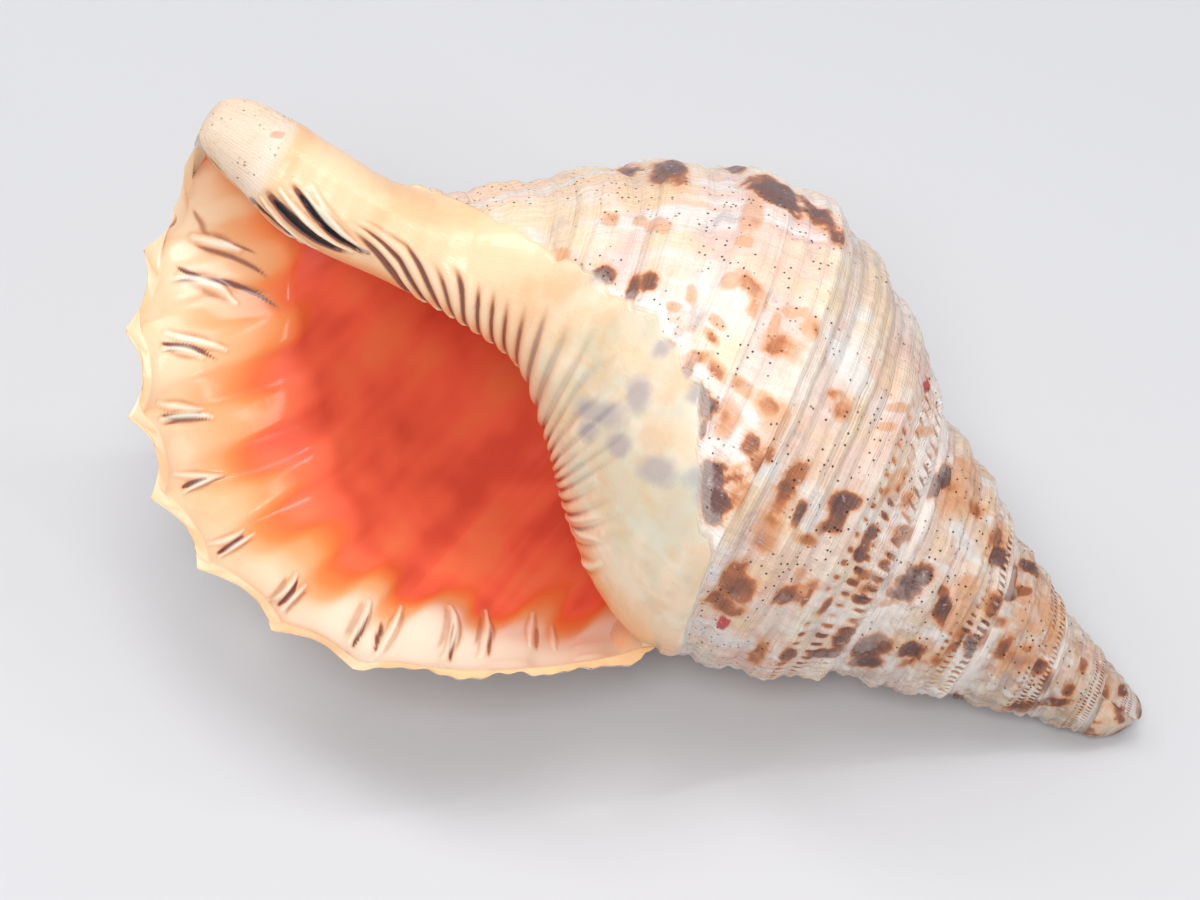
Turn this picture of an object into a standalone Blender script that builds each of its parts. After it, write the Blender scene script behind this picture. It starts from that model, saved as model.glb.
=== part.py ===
"""Triton shell: spire, body whorl, flared lip, columella and siphonal canal in one piece."""

import math

import bpy
import numpy as np
from mathutils import Matrix

# Growth of the spiral, lengths in millimetres, turns counted back from the lip
LENGTH_TO_CANAL_END = 350.0
TURNS = 4.75
GROWTH_DOWN = 1.46
GROWTH_OUT = 1.748
LIP_SUTURE_DOWN = 157.3
LIP_SUTURE_OUT = 60.8
APEX_RADIUS = 4.4
APEX_DOME = 9.0
APEX_RINGS = (0.75,)

# Outline of a whorl
BODY_SHOULDER_OUT = 96.3
WHORL_BULGE = 0.105
BULGE_FADE = 0.70
BULGE_SKEW = 0.84
BASE_HEIGHT = 0.89
BASE_ROUND = 2.09
BASE_TAIL = 1.84
PILLAR_BLEND = 5.0
SHOULDER_BLEND = 12.0

# Columella and siphonal canal
COLUMELLA_RADIUS = 9.8
COLUMELLA_SWELL = 4.8
SWELL_DOWN = 310.0
SWELL_SPREAD = 25.0
SWELL_TURN = -0.73
SWELL_TURNS = 0.25
CANAL_GUTTER = 8.2
GUTTER_TURNS = 0.6
CANAL_TAPER = 15.3
CANAL_TIP_SHARE = 0.35
CANAL_TIP_ROUND = 0.98
CANAL_TIP_DOME = 0.5
CANAL_BEND = (5.6, -2.5)
CANAL_BEND_START = 206.0
CANAL_BEND_REACH = 165.0
CANAL_OPENING = 1.02
OPENING_START = 1.5
OPENING_REACH = 0.5

# Flared lip: how far it turns out and leans forward along its edge
FLARE_TURN = 0.085
FLARE_PLACES = (0.0, 0.3, 0.7, 1.1, 1.4, 1.7, 2.0)
FLARE_OUT = (0.0, 2.5, 11.0, 19.0, 31.0, 28.9, 1.7)
LEAN_PLACES = (0.0, 0.5, 1.0, 1.5, 2.0)
LEAN_ANGLE = (0.0, -0.15, -0.025, 0.34, -0.055)
LEAN_TURN = 0.4
SPINE_PLACES = (1.0, 1.117, 1.25, 1.367, 1.517, 1.65, 1.783, 1.883)
SPINE_LENGTHS = (1.0, 5.5, 5.5, 6.0, 6.5, 6.0, 5.0, 3.0)

# Relief
UPPER_CORD_PLACES = (0.10, 0.40, 0.70, 1.0)
CORD_HEIGHT = 1.1
CORD_SIZE_POWER = 0.7
CORD_FADE = (1.75, 0.2)
VARIX_TURNS = (-0.46, -1.10, -1.74, -2.38, -3.02)
VARIX_HEIGHT = 3.0
VARIX_SPREAD = 0.028
VARIX_RISE = 0.15
VARIX_FADE = (1.5, 0.3)
CALLUS_THICKNESS = 1.4
CALLUS_TURN = 0.12
CALLUS_EDGE = 0.02
CALLUS_START = (0.75, 0.2)
CALLUS_END = (1.8, 0.15)
CALLUS_COVERS = 0.7
TOOTH_HEIGHT = 1.6

# Hollow of the last whorl
WALL_AT_LIP = 2.2
WALL_INSIDE = 4.0
WALL_TURN = 0.06
LINING = 1.0
PILLAR_GAP = 1.0
HOLLOW_TURNS = 2.7
NECK_CLEARANCE = 7.0
NECK_TURN = 0.12
OPENING_TURN = 0.25
CANAL_END_WALL = 6.0
TOOTH_FADE_TURN = 0.01

# Mesh steps
STEPS_PER_TURN = 48
ROWS_PER_CORD = 3
LIP_LOOPS = (0.010, 0.028, 0.052)
NEAR_LOOPS = (0.09, 0.15, 0.22, 0.30, 0.38, 0.46, 0.55)
DEEP_LOOP_SPACING = 0.12
OUTLINE_SAMPLES = 160
PILLAR_SAMPLES = 80

# How the shell rests, aperture up, long axis along X
REST_ROLL = math.radians(22.344)
REST_PITCH = math.radians(25.36)
FLAT_DEPTH = 0.0022


def smooth_step(x):
    """Ease from 0 to 1 with level ends."""
    x = np.clip(x, 0.0, 1.0)
    return x * x * (3.0 - 2.0 * x)


def smooth_max(x, y, width):
    """Larger of two lengths, rounded where they cross."""
    gap = np.clip((x - y) / width, -30.0, 30.0)
    return y + width * np.log1p(np.exp(gap))


def through_points(x, places, values):
    """Curve through a few points that never overshoots them."""
    x = np.asarray(x, float)
    places = np.asarray(places, float)
    values = np.asarray(values, float)
    steps = np.diff(places)
    slopes = np.diff(values) / steps
    tangent = np.zeros(len(values))
    tangent[0] = slopes[0]
    tangent[-1] = slopes[-1]
    before = slopes[:-1]
    after = slopes[1:]
    same_way = before * after > 0.0
    total = np.where(same_way, before + after, 1.0)
    tangent[1:-1] = np.where(same_way, 2.0 * before * after / total, 0.0)
    k = np.clip(np.searchsorted(places, x, side="right") - 1, 0, len(steps) - 1)
    t = np.clip((x - places[k]) / steps[k], 0.0, 1.0)
    start = (1.0 + 2.0 * t) * (1.0 - t) ** 2 * values[k]
    leave = t * (1.0 - t) ** 2 * steps[k] * tangent[k]
    end = t * t * (3.0 - 2.0 * t) * values[k + 1]
    arrive = t * t * (t - 1.0) * steps[k] * tangent[k + 1]
    return start + leave + end + arrive


def row_places():
    """Places along the outline where the rows of the mesh lie, three to a cord."""
    cords = (-0.06,) + UPPER_CORD_PLACES + SPINE_PLACES[1:] + (2.0,)
    count = (len(cords) - 1) * ROWS_PER_CORD + 1
    cord = np.linspace(0.0, len(cords) - 1.0, count)
    places = np.interp(cord, np.arange(len(cords)), cords)
    keep = places > 0.02
    places = np.concatenate([[0.0], places[keep]])
    cord = np.concatenate([[0.5], cord[keep]])
    return places, cord


PLACES, CORD = row_places()
UPPER_ROWS = int(np.argmin(np.abs(PLACES - 1.0)))
PLACES[UPPER_ROWS] = 1.0
LAST_ROW = len(PLACES) - 1


def suture(turn):
    """Distance down the axis and out from it of the seam at a turn."""
    down = LIP_SUTURE_DOWN * GROWTH_DOWN ** turn
    grown = GROWTH_OUT ** turn
    out = LIP_SUTURE_OUT * grown + APEX_RADIUS * (1.0 - grown)
    return down, out


def upper_outline(turn, place):
    """Bulging outline between one seam and the next, place 0 to 1."""
    down_0, out_0 = suture(turn)
    down_1, out_1 = suture(turn + 1.0)
    narrowing = BODY_SHOULDER_OUT * GROWTH_DOWN ** turn - out_1
    out_1 = out_1 + narrowing * smooth_step(turn + 1.0)
    run = down_1 - down_0
    rise = out_1 - out_0
    bulge = WHORL_BULGE * BULGE_FADE ** (-turn) * np.sin(math.pi * place ** BULGE_SKEW)
    return down_0 + run * place - rise * bulge, out_0 + rise * place + run * bulge


def columella(turn, down):
    """Radius of the pillar that the base runs into."""
    radius = COLUMELLA_RADIUS * GROWTH_DOWN ** np.minimum(turn + 1.0, 0.0)
    radius = radius + CANAL_GUTTER * smooth_step((turn + GUTTER_TURNS) / GUTTER_TURNS)
    swell = np.exp(-((down - SWELL_DOWN) / SWELL_SPREAD) ** 2)
    radius = radius + COLUMELLA_SWELL * swell * smooth_step((SWELL_TURN - turn) / SWELL_TURNS)
    end = np.clip((down - LENGTH_TO_CANAL_END + CANAL_TAPER) / CANAL_TAPER, 0.0, 1.0)
    rounding = np.sqrt(1.0 - CANAL_TIP_ROUND * end * end)
    return radius * (CANAL_TIP_SHARE + (1.0 - CANAL_TIP_SHARE) * rounding)


def base_outline(turn, places):
    """Outline from the widest part to the end of the canal, one row per turn value."""
    turn = np.asarray(turn, float)[:, None]
    down_1, out_1 = upper_outline(turn, np.ones_like(turn))
    height = BASE_HEIGHT * suture(turn)[0]
    along = np.linspace(0.0, 1.0, OUTLINE_SAMPLES)[None, :]
    down = down_1 + (LENGTH_TO_CANAL_END - down_1) * along
    fall = np.clip((down - down_1) / height, 0.0, 1.0)
    out = out_1 * (1.0 - fall ** BASE_ROUND) ** BASE_TAIL
    out = smooth_max(out, columella(turn, down), PILLAR_BLEND)
    out = out + (out_1 - out[:, :1]) * np.exp(-SHOULDER_BLEND * along)
    lengths = np.hypot(np.diff(down, axis=1), np.diff(out, axis=1))
    travelled = np.concatenate([np.zeros((len(turn), 1)), np.cumsum(lengths, axis=1)], axis=1)
    rows_down = np.empty((len(turn), len(places)))
    rows_out = np.empty((len(turn), len(places)))
    for i, path in enumerate(travelled):
        rows_down[i] = np.interp(places * path[-1], path, down[i])
        rows_out[i] = np.interp(places * path[-1], path, out[i])
    return rows_down, rows_out


def outline(turn):
    """Whole outline at each turn value, on all rows."""
    turn = np.asarray(turn, float)
    upper = upper_outline(turn[:, None], PLACES[None, :UPPER_ROWS + 1])
    base = base_outline(turn, PLACES[UPPER_ROWS:] - 1.0)
    down = np.concatenate([upper[0], base[0][:, 1:]], axis=1)
    out = np.concatenate([upper[1], base[1][:, 1:]], axis=1)
    return down, out


def normals(down, out):
    """Outward direction of each outline in its own plane."""
    step_down = np.gradient(down, axis=1)
    step_out = np.gradient(out, axis=1)
    length = np.hypot(step_down, step_out) + 1e-9
    return -step_out / length, step_down / length


def relief(turn, place, cord):
    """Height of cords, varices and callus above the smooth whorl."""
    size = np.clip(GROWTH_OUT ** turn, 0.0, 1.0)
    lines = CORD_HEIGHT * np.cos(2.0 * math.pi * cord)
    height = lines * size ** CORD_SIZE_POWER * (1.0 - smooth_step((place - CORD_FADE[0]) / CORD_FADE[1]))
    off_seam = smooth_step(place / VARIX_RISE)
    off_seam = off_seam * (1.0 - smooth_step((place - VARIX_FADE[0]) / VARIX_FADE[1]))
    for middle in VARIX_TURNS:
        ridge = np.exp(-((turn - middle) / VARIX_SPREAD) ** 2)
        height = height + VARIX_HEIGHT * size * ridge * off_seam
    callus = 1.0 - smooth_step((turn + 1.0 - CALLUS_TURN) / CALLUS_EDGE)
    callus = callus * smooth_step((place - CALLUS_START[0]) / CALLUS_START[1])
    callus = callus * (1.0 - smooth_step((place - CALLUS_END[0]) / CALLUS_END[1]))
    callus = callus * (turn > -1.0 - 1e-6)
    return height * (1.0 - CALLUS_COVERS * callus) + CALLUS_THICKNESS * callus


def flare(turn):
    """Turned-out lip: distance along the outward direction on each row."""
    near = smooth_step((turn + FLARE_TURN) / FLARE_TURN) ** 1.5
    return near[:, None] * through_points(PLACES, FLARE_PLACES, FLARE_OUT)[None, :]


def lean(turn):
    """Angle by which the lip edge runs ahead of, or behind, its plane."""
    near = smooth_step((turn + LEAN_TURN) / LEAN_TURN)
    return near[:, None] * through_points(PLACES, LEAN_PLACES, LEAN_ANGLE)[None, :]


def put(down, out, angle):
    """Points in space from an outline and its angle around the axis."""
    bend = smooth_step((down - CANAL_BEND_START) / CANAL_BEND_REACH)
    x = out * np.cos(angle) + CANAL_BEND[0] * bend
    y = out * np.sin(angle) + CANAL_BEND[1] * bend
    return np.stack([x, y, -down], axis=-1)


def opening(places):
    """Share of the canal opening at places along the outline."""
    return CANAL_OPENING * smooth_step((places - OPENING_START) / OPENING_REACH)


def spire_points(turn):
    """Rows of the wound part, from the apex to the lip."""
    places = PLACES[None, :UPPER_ROWS + 1]
    down, out = upper_outline(turn[:, None], places)
    side, away = normals(down, out)
    height = relief(turn[:, None], places, CORD[None, :UPPER_ROWS + 1])
    height = height * np.where(places == 0.0, 0.0, 1.0)
    height[:, -1] = 0.0
    return put(down + side * height, out + away * height, -2.0 * math.pi * turn[:, None])


def body_points(turn):
    """Rows of the last whorl with base, canal and flared lip."""
    down, out = outline(turn)
    side, away = normals(down, out)
    height = relief(turn[:, None], PLACES[None, :], CORD[None, :])
    height[:, 0] = 0.0
    height[0, UPPER_ROWS] = 0.0
    height = height + flare(turn)
    spines = np.zeros(len(PLACES))
    for place, length in zip(SPINE_PLACES, SPINE_LENGTHS):
        spines[np.argmin(np.abs(PLACES - place))] = length
    height[-1] += spines
    down = np.minimum(down + side * height, LENGTH_TO_CANAL_END)
    out = out + away * height
    recess = opening(PLACES)[None, :]
    angle = recess - (2.0 * math.pi - recess) * turn[:, None] + lean(turn)
    return put(down, out, angle)


def hollow_loop(depth, lip_count, inner_count):
    """One ring of the hollow, a given number of turns in from the lip."""
    turn = np.array([-depth])
    down, out = outline(turn)
    side, away = normals(down, out)
    thick = WALL_INSIDE * GROWTH_DOWN ** -depth
    wall = WALL_AT_LIP + (thick - WALL_AT_LIP) * smooth_step(depth / WALL_TURN)
    rise = flare(turn)[0] - wall
    near = 1.0 - smooth_step(depth / (LIP_LOOPS[-1] + TOOTH_FADE_TURN))
    rise = rise - TOOTH_HEIGHT * near * np.maximum(np.cos(2.0 * math.pi * CORD), 0.0)
    wall_down = down[0] + side[0] * rise
    wall_out = out[0] + away[0] * rise
    core_down, core_out = base_outline(turn - 1.0, np.linspace(0.0, 1.0, PILLAR_SAMPLES))
    core_down = core_down[0]
    core_out = core_out[0] + LINING
    settle = smooth_step(depth / NECK_TURN)
    neck = (1.0 + GROWTH_DOWN) * suture(-depth)[0] - NECK_CLEARANCE
    canal_stop = LENGTH_TO_CANAL_END - CANAL_END_WALL
    last = canal_stop + (neck - canal_stop) * settle
    core_at = np.interp(wall_down, core_down, core_out)
    free = wall_out > core_at + PILLAR_GAP
    first_row = int(np.argmax(free))
    last_row = first_row + int(np.argmin(np.append(free[first_row:], False))) - 1
    first = wall_down[first_row]
    last = min(last, wall_down[last_row])
    wall_ahead = np.maximum.accumulate(wall_down[first_row:])
    rows_down, rows_out = resample(wall_ahead, wall_out[first_row:], first, last, lip_count)
    rows_out = np.maximum(rows_out, np.interp(rows_down, core_down, core_out) + PILLAR_GAP)
    core_rows_down, core_rows_out = resample(core_down, core_out, first, last, inner_count + 1)
    spread = np.linspace(0.0, 2.0, lip_count)
    closing = 1.0 - smooth_step(depth / OPENING_TURN)
    ahead = through_points(spread, LEAN_PLACES, LEAN_ANGLE) * smooth_step((LEAN_TURN - depth) / LEAN_TURN)
    angle = 2.0 * math.pi * depth
    outer = put(rows_down, rows_out, angle + opening(spread) * closing + ahead)
    fade = smooth_step(depth / WALL_TURN) * closing
    spread = np.linspace(1.0, 2.0, inner_count + 1)
    inner = put(core_rows_down, core_rows_out, angle + 0.5 * opening(spread) * fade)
    return np.concatenate([outer, inner[::-1][:-1]])


def resample(down, out, first, last, count):
    """Even rows on an outline between two distances down the axis."""
    path = np.concatenate([[0.0], np.cumsum(np.hypot(np.diff(down), np.diff(out)))])
    start = np.interp(first, down, path)
    end = np.interp(last, down, path)
    at = np.linspace(start, end, count)
    return np.interp(at, path, down), np.interp(at, path, out)


def strip(lower, upper):
    """Quads between two rows of vertex numbers."""
    return [
        (lower[k + 1], lower[k], upper[k], upper[k + 1])
        for k in range(len(lower) - 1)
    ]


def halving(ring, coarse):
    """Faces from a closed ring to one with half as many vertices."""
    faces = []
    for k in range(len(coarse)):
        after = (k + 1) % len(coarse)
        corner = ring[(2 * k + 2) % len(ring)]
        faces.append((ring[2 * k + 1], ring[2 * k], coarse[k]))
        faces.append((corner, ring[2 * k + 1], coarse[k], coarse[after]))
    return faces


def fan(ring, centre):
    """Triangles from a closed ring to one vertex."""
    return [(ring[(k + 1) % len(ring)], ring[k], centre) for k in range(len(ring))]


def shell_mesh():
    """Vertices in millimetres and faces of the whole shell."""
    steps = STEPS_PER_TURN
    count = int(TURNS * steps)
    turn = (np.arange(count + 1) - count) / steps
    spire = spire_points(turn)
    body = body_points(turn[count - steps:])
    spire[count - steps:] = body[:, :UPPER_ROWS + 1]
    points = [spire[:, :UPPER_ROWS].reshape(-1, 3), body[:, UPPER_ROWS:].reshape(-1, 3)]
    number = np.zeros((count + 1, UPPER_ROWS + 1), int)
    number[:, :UPPER_ROWS] = np.arange((count + 1) * UPPER_ROWS).reshape(count + 1, UPPER_ROWS)
    number[:count + 1 - steps, UPPER_ROWS] = number[steps:, 0]
    used = (count + 1) * UPPER_ROWS
    base_rows = LAST_ROW - UPPER_ROWS + 1
    low = used + np.arange((steps + 1) * base_rows).reshape(steps + 1, base_rows)
    low[0, 0] = number[count, 0]
    last = np.concatenate([number[count - steps:, :UPPER_ROWS], low], axis=1)
    used += (steps + 1) * base_rows
    faces = []
    for i in range(count - steps):
        faces += strip(number[i], number[i + 1])
    for i in range(steps):
        faces += strip(last[i], last[i + 1])
    start_ring = list(number[:steps + 1, 0]) + list(number[0, 1:UPPER_ROWS][::-1])
    rim = np.concatenate([spire[:steps + 1, 0], spire[0, 1:UPPER_ROWS][::-1]])
    apex = rim.mean(axis=0)
    for share in APEX_RINGS:
        ring_points = apex + (rim - apex) * share
        ring_points[:, 2] += APEX_DOME * math.sqrt(1.0 - share * share)
        points.append(ring_points)
        next_ring = list(range(used, used + len(rim)))
        used += len(rim)
        faces += strip(start_ring + start_ring[:1], next_ring + next_ring[:1])
        start_ring = next_ring
    points.append((apex + np.array([0.0, 0.0, APEX_DOME]))[None, :])
    faces += fan(start_ring, used)
    used += 1
    end = body[:, -1].mean(axis=0)
    end[2] = body[:, -1, 2].min() - CANAL_TIP_DOME
    points.append(end[None, :])
    faces += fan(list(last[:, -1][::-1]), used)
    used += 1
    ring = list(last[-1]) + list(last[0, UPPER_ROWS:][::-1][:-1])
    lip_count = LAST_ROW + 1
    inner_count = len(ring) - lip_count
    for depth in LIP_LOOPS + NEAR_LOOPS:
        loop = hollow_loop(depth, lip_count, inner_count)
        points.append(loop)
        next_ring = list(range(used, used + len(loop)))
        used += len(loop)
        faces += strip(ring + ring[:1], next_ring + next_ring[:1])
        ring = next_ring
    for depth in np.arange(NEAR_LOOPS[-1] + DEEP_LOOP_SPACING, HOLLOW_TURNS, DEEP_LOOP_SPACING):
        loop = hollow_loop(depth, lip_count, inner_count)[::2]
        points.append(loop)
        next_ring = list(range(used, used + len(loop)))
        used += len(loop)
        if len(ring) > len(loop):
            faces += halving(ring, next_ring)
        else:
            faces += strip(ring + ring[:1], next_ring + next_ring[:1])
        ring = next_ring
    points.append(loop.mean(axis=0)[None, :])
    faces += fan(ring, used)
    return np.concatenate(points), faces


def resting(points):
    """Turn the shell on its back, long axis along X, and set it on the ground."""
    laid = np.stack([points[:, 2], -points[:, 0], -points[:, 1]], axis=-1) * 0.001
    turned = Matrix.Rotation(REST_PITCH, 3, "Y") @ Matrix.Rotation(REST_ROLL, 3, "X")
    laid = laid @ np.array(turned).T
    laid[:, 2] -= laid[:, 2].min() + FLAT_DEPTH
    laid[:, 2] = np.maximum(laid[:, 2], 0.0)
    middle = 0.5 * (laid.min(axis=0) + laid.max(axis=0))
    laid[:, :2] -= middle[:2]
    return laid


def shell_material():
    """Cream shell with a soft gloss."""
    material = bpy.data.materials.new("shell_cream")
    material.use_nodes = True
    shader = material.node_tree.nodes["Principled BSDF"]
    shader.inputs["Base Color"].default_value = (0.78, 0.62, 0.48, 1.0)
    shader.inputs["Roughness"].default_value = 0.35
    shader.inputs["Metallic"].default_value = 0.0
    return material


def make_shell():
    """Build the shell as one closed mesh object."""
    points, faces = shell_mesh()
    mesh = bpy.data.meshes.new("triton_shell")
    mesh.from_pydata(resting(points).tolist(), [], [tuple(int(v) for v in face) for face in faces])
    mesh.validate()
    mesh.shade_smooth()
    mesh.materials.append(shell_material())
    shell = bpy.data.objects.new("triton_shell", mesh)
    bpy.context.scene.collection.objects.link(shell)
    return shell


def main():
    """Clear the scene and build the shell."""
    for item in list(bpy.data.objects):
        bpy.data.objects.remove(item, do_unlink=True)
    make_shell()


main()
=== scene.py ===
import logging
import math
from dataclasses import dataclass, field
from enum import Enum
from functools import cached_property
from typing import Callable

import bpy
import numpy as np
from mathutils import Matrix, Vector

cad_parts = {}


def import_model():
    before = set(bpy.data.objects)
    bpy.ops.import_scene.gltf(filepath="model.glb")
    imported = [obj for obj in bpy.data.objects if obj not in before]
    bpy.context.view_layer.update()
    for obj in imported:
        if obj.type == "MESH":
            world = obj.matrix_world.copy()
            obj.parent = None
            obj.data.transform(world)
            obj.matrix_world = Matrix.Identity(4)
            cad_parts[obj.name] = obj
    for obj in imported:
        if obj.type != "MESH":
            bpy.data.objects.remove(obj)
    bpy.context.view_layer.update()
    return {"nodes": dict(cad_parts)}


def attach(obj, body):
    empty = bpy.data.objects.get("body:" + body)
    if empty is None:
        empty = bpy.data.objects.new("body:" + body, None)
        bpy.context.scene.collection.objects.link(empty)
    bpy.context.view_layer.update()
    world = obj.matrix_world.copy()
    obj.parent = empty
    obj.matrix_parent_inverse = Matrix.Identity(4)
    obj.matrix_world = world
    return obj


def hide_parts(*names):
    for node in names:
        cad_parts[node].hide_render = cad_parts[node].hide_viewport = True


LOG = logging.getLogger("triton_shell")
Array = np.ndarray
Pair = tuple[Array, Array]
Triple = tuple[Array, Array, Array]
Values = dict[str, Array]
Material = bpy.types.Material
NodeTree = bpy.types.NodeTree
FULL_TURN = 2.0 * math.pi
NODE = "triton_shell"
BODY = "root"


def ease(x: Array | float) -> Array:
    """Rise from 0 to 1 with level ends: 3x squared less 2x cubed."""
    x = np.clip(x, 0.0, 1.0)
    return x * x * (3.0 - 2.0 * x)


def rising(x: Array, start: float, reach: float) -> Array:
    """Eased rise from 0 at start to 1 a reach further on."""
    return ease((x - start) / reach)


def falling(x: Array, start: float, reach: float) -> Array:
    """Eased fall from 1 at start to 0 a reach further on."""
    return 1.0 - ease((x - start) / reach)


def bump(x: Array, middle: float, reach: float) -> Array:
    """Bell of height 1 around a middle: e to the minus square of the distance over the reach."""
    return np.exp(-(((x - middle) / reach) ** 2))


def soft_max(x: Array, y: Array, width: float) -> Array:
    """Larger of two lengths, rounded where they cross: y plus width times log(1 + e^((x - y) / width))."""
    return y + width * np.log1p(np.exp(np.clip((x - y) / width, -30.0, 30.0)))


def through_points(x: Array, places: tuple, values: tuple) -> Array:
    """Curve through a few points that never overshoots them.

    Each stretch is a cubic whose end slopes are the harmonic mean of the slopes on both sides.

    Args:
        x: Where the curve is read.
        places: Rising places of the points.
        values: Values at the points.

    Returns:
        The curve's values at x.
    """
    x = np.asarray(x, float)
    at = np.asarray(places, float)
    value = np.asarray(values, float)
    steps = np.diff(at)
    slopes = np.diff(value) / steps
    tangent = np.zeros(len(value))
    tangent[0] = slopes[0]
    tangent[-1] = slopes[-1]
    product = slopes[:-1] * slopes[1:]
    total = np.where(product > 0.0, slopes[:-1] + slopes[1:], 1.0)
    tangent[1:-1] = np.where(product > 0.0, 2.0 * product / total, 0.0)
    k = np.clip(np.searchsorted(at, x, side="right") - 1, 0, len(steps) - 1)
    t = np.clip((x - at[k]) / steps[k], 0.0, 1.0)
    start = (1.0 + 2.0 * t) * (1.0 - t) ** 2 * value[k] + t * (1.0 - t) ** 2 * steps[k] * tangent[k]
    end = t * t * (3.0 - 2.0 * t) * value[k + 1] + t * t * (t - 1.0) * steps[k] * tangent[k + 1]
    return start + end


def read_rows(path: Array, values: Array, at: Array) -> Array:
    """Read each row's curve at shares of its own length.

    Row i is shifted by 2i, so that all rows form one rising sequence and one interpolation reads them.

    Args:
        path: Share of the length at each sample, 0 to 1, one row per curve.
        values: Value at each sample.
        at: Shares at which the curves are read, one row per curve.

    Returns:
        The values, in the shape of at.
    """
    shift = 2.0 * np.arange(len(path))[:, None]
    read = np.interp((at + shift).ravel(), (path + shift).ravel(), values.ravel())
    return read.reshape(at.shape)


def path_length(down: Array, out: Array) -> Array:
    """Length along each row's curve: the running sum of its straight steps."""
    steps = np.hypot(np.diff(down, axis=1), np.diff(out, axis=1))
    return np.concatenate([np.zeros((len(down), 1)), np.cumsum(steps, axis=1)], axis=1)


def per_row(turn: Array, place: Array) -> Pair:
    """Turn values as a column, and the places as one row for each."""
    return np.asarray(turn, float)[:, None], np.broadcast_to(place, (len(turn), np.shape(place)[-1]))


def lattice_noise(points: Array, size: float, seed: int) -> Array:
    """Smooth random field between -1 and 1.

    Every corner of a cubic lattice has a fixed random value, and a point blends the eight corners
    of its cell with eased weights.

    Args:
        points: Places, last axis x, y, z.
        size: Edge of a lattice cell, in the unit of the points.
        seed: Number that picks the random values.

    Returns:
        One value per point.
    """
    grid = points / size
    cell = np.floor(grid).astype(np.int64)
    share = ease(grid - cell)
    total = np.zeros(points.shape[:-1])
    for corner in range(8):
        step = np.array([corner & 1, corner >> 1 & 1, corner >> 2 & 1])
        at = cell + step
        mixed = at[..., 0] * 73856093 ^ at[..., 1] * 19349663 ^ at[..., 2] * 83492791 ^ seed * 2654435761
        mixed = (mixed ^ (mixed >> 13)) * 1274126177 & 0x7FFFFFFF
        mixed = (mixed ^ (mixed >> 15)) * 374761393 & 0x7FFFFFFF
        weight = np.prod(np.where(step == 1, share, 1.0 - share), axis=-1)
        total = total + weight * (mixed / float(0x3FFFFFFF) - 1.0)
    return total


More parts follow.
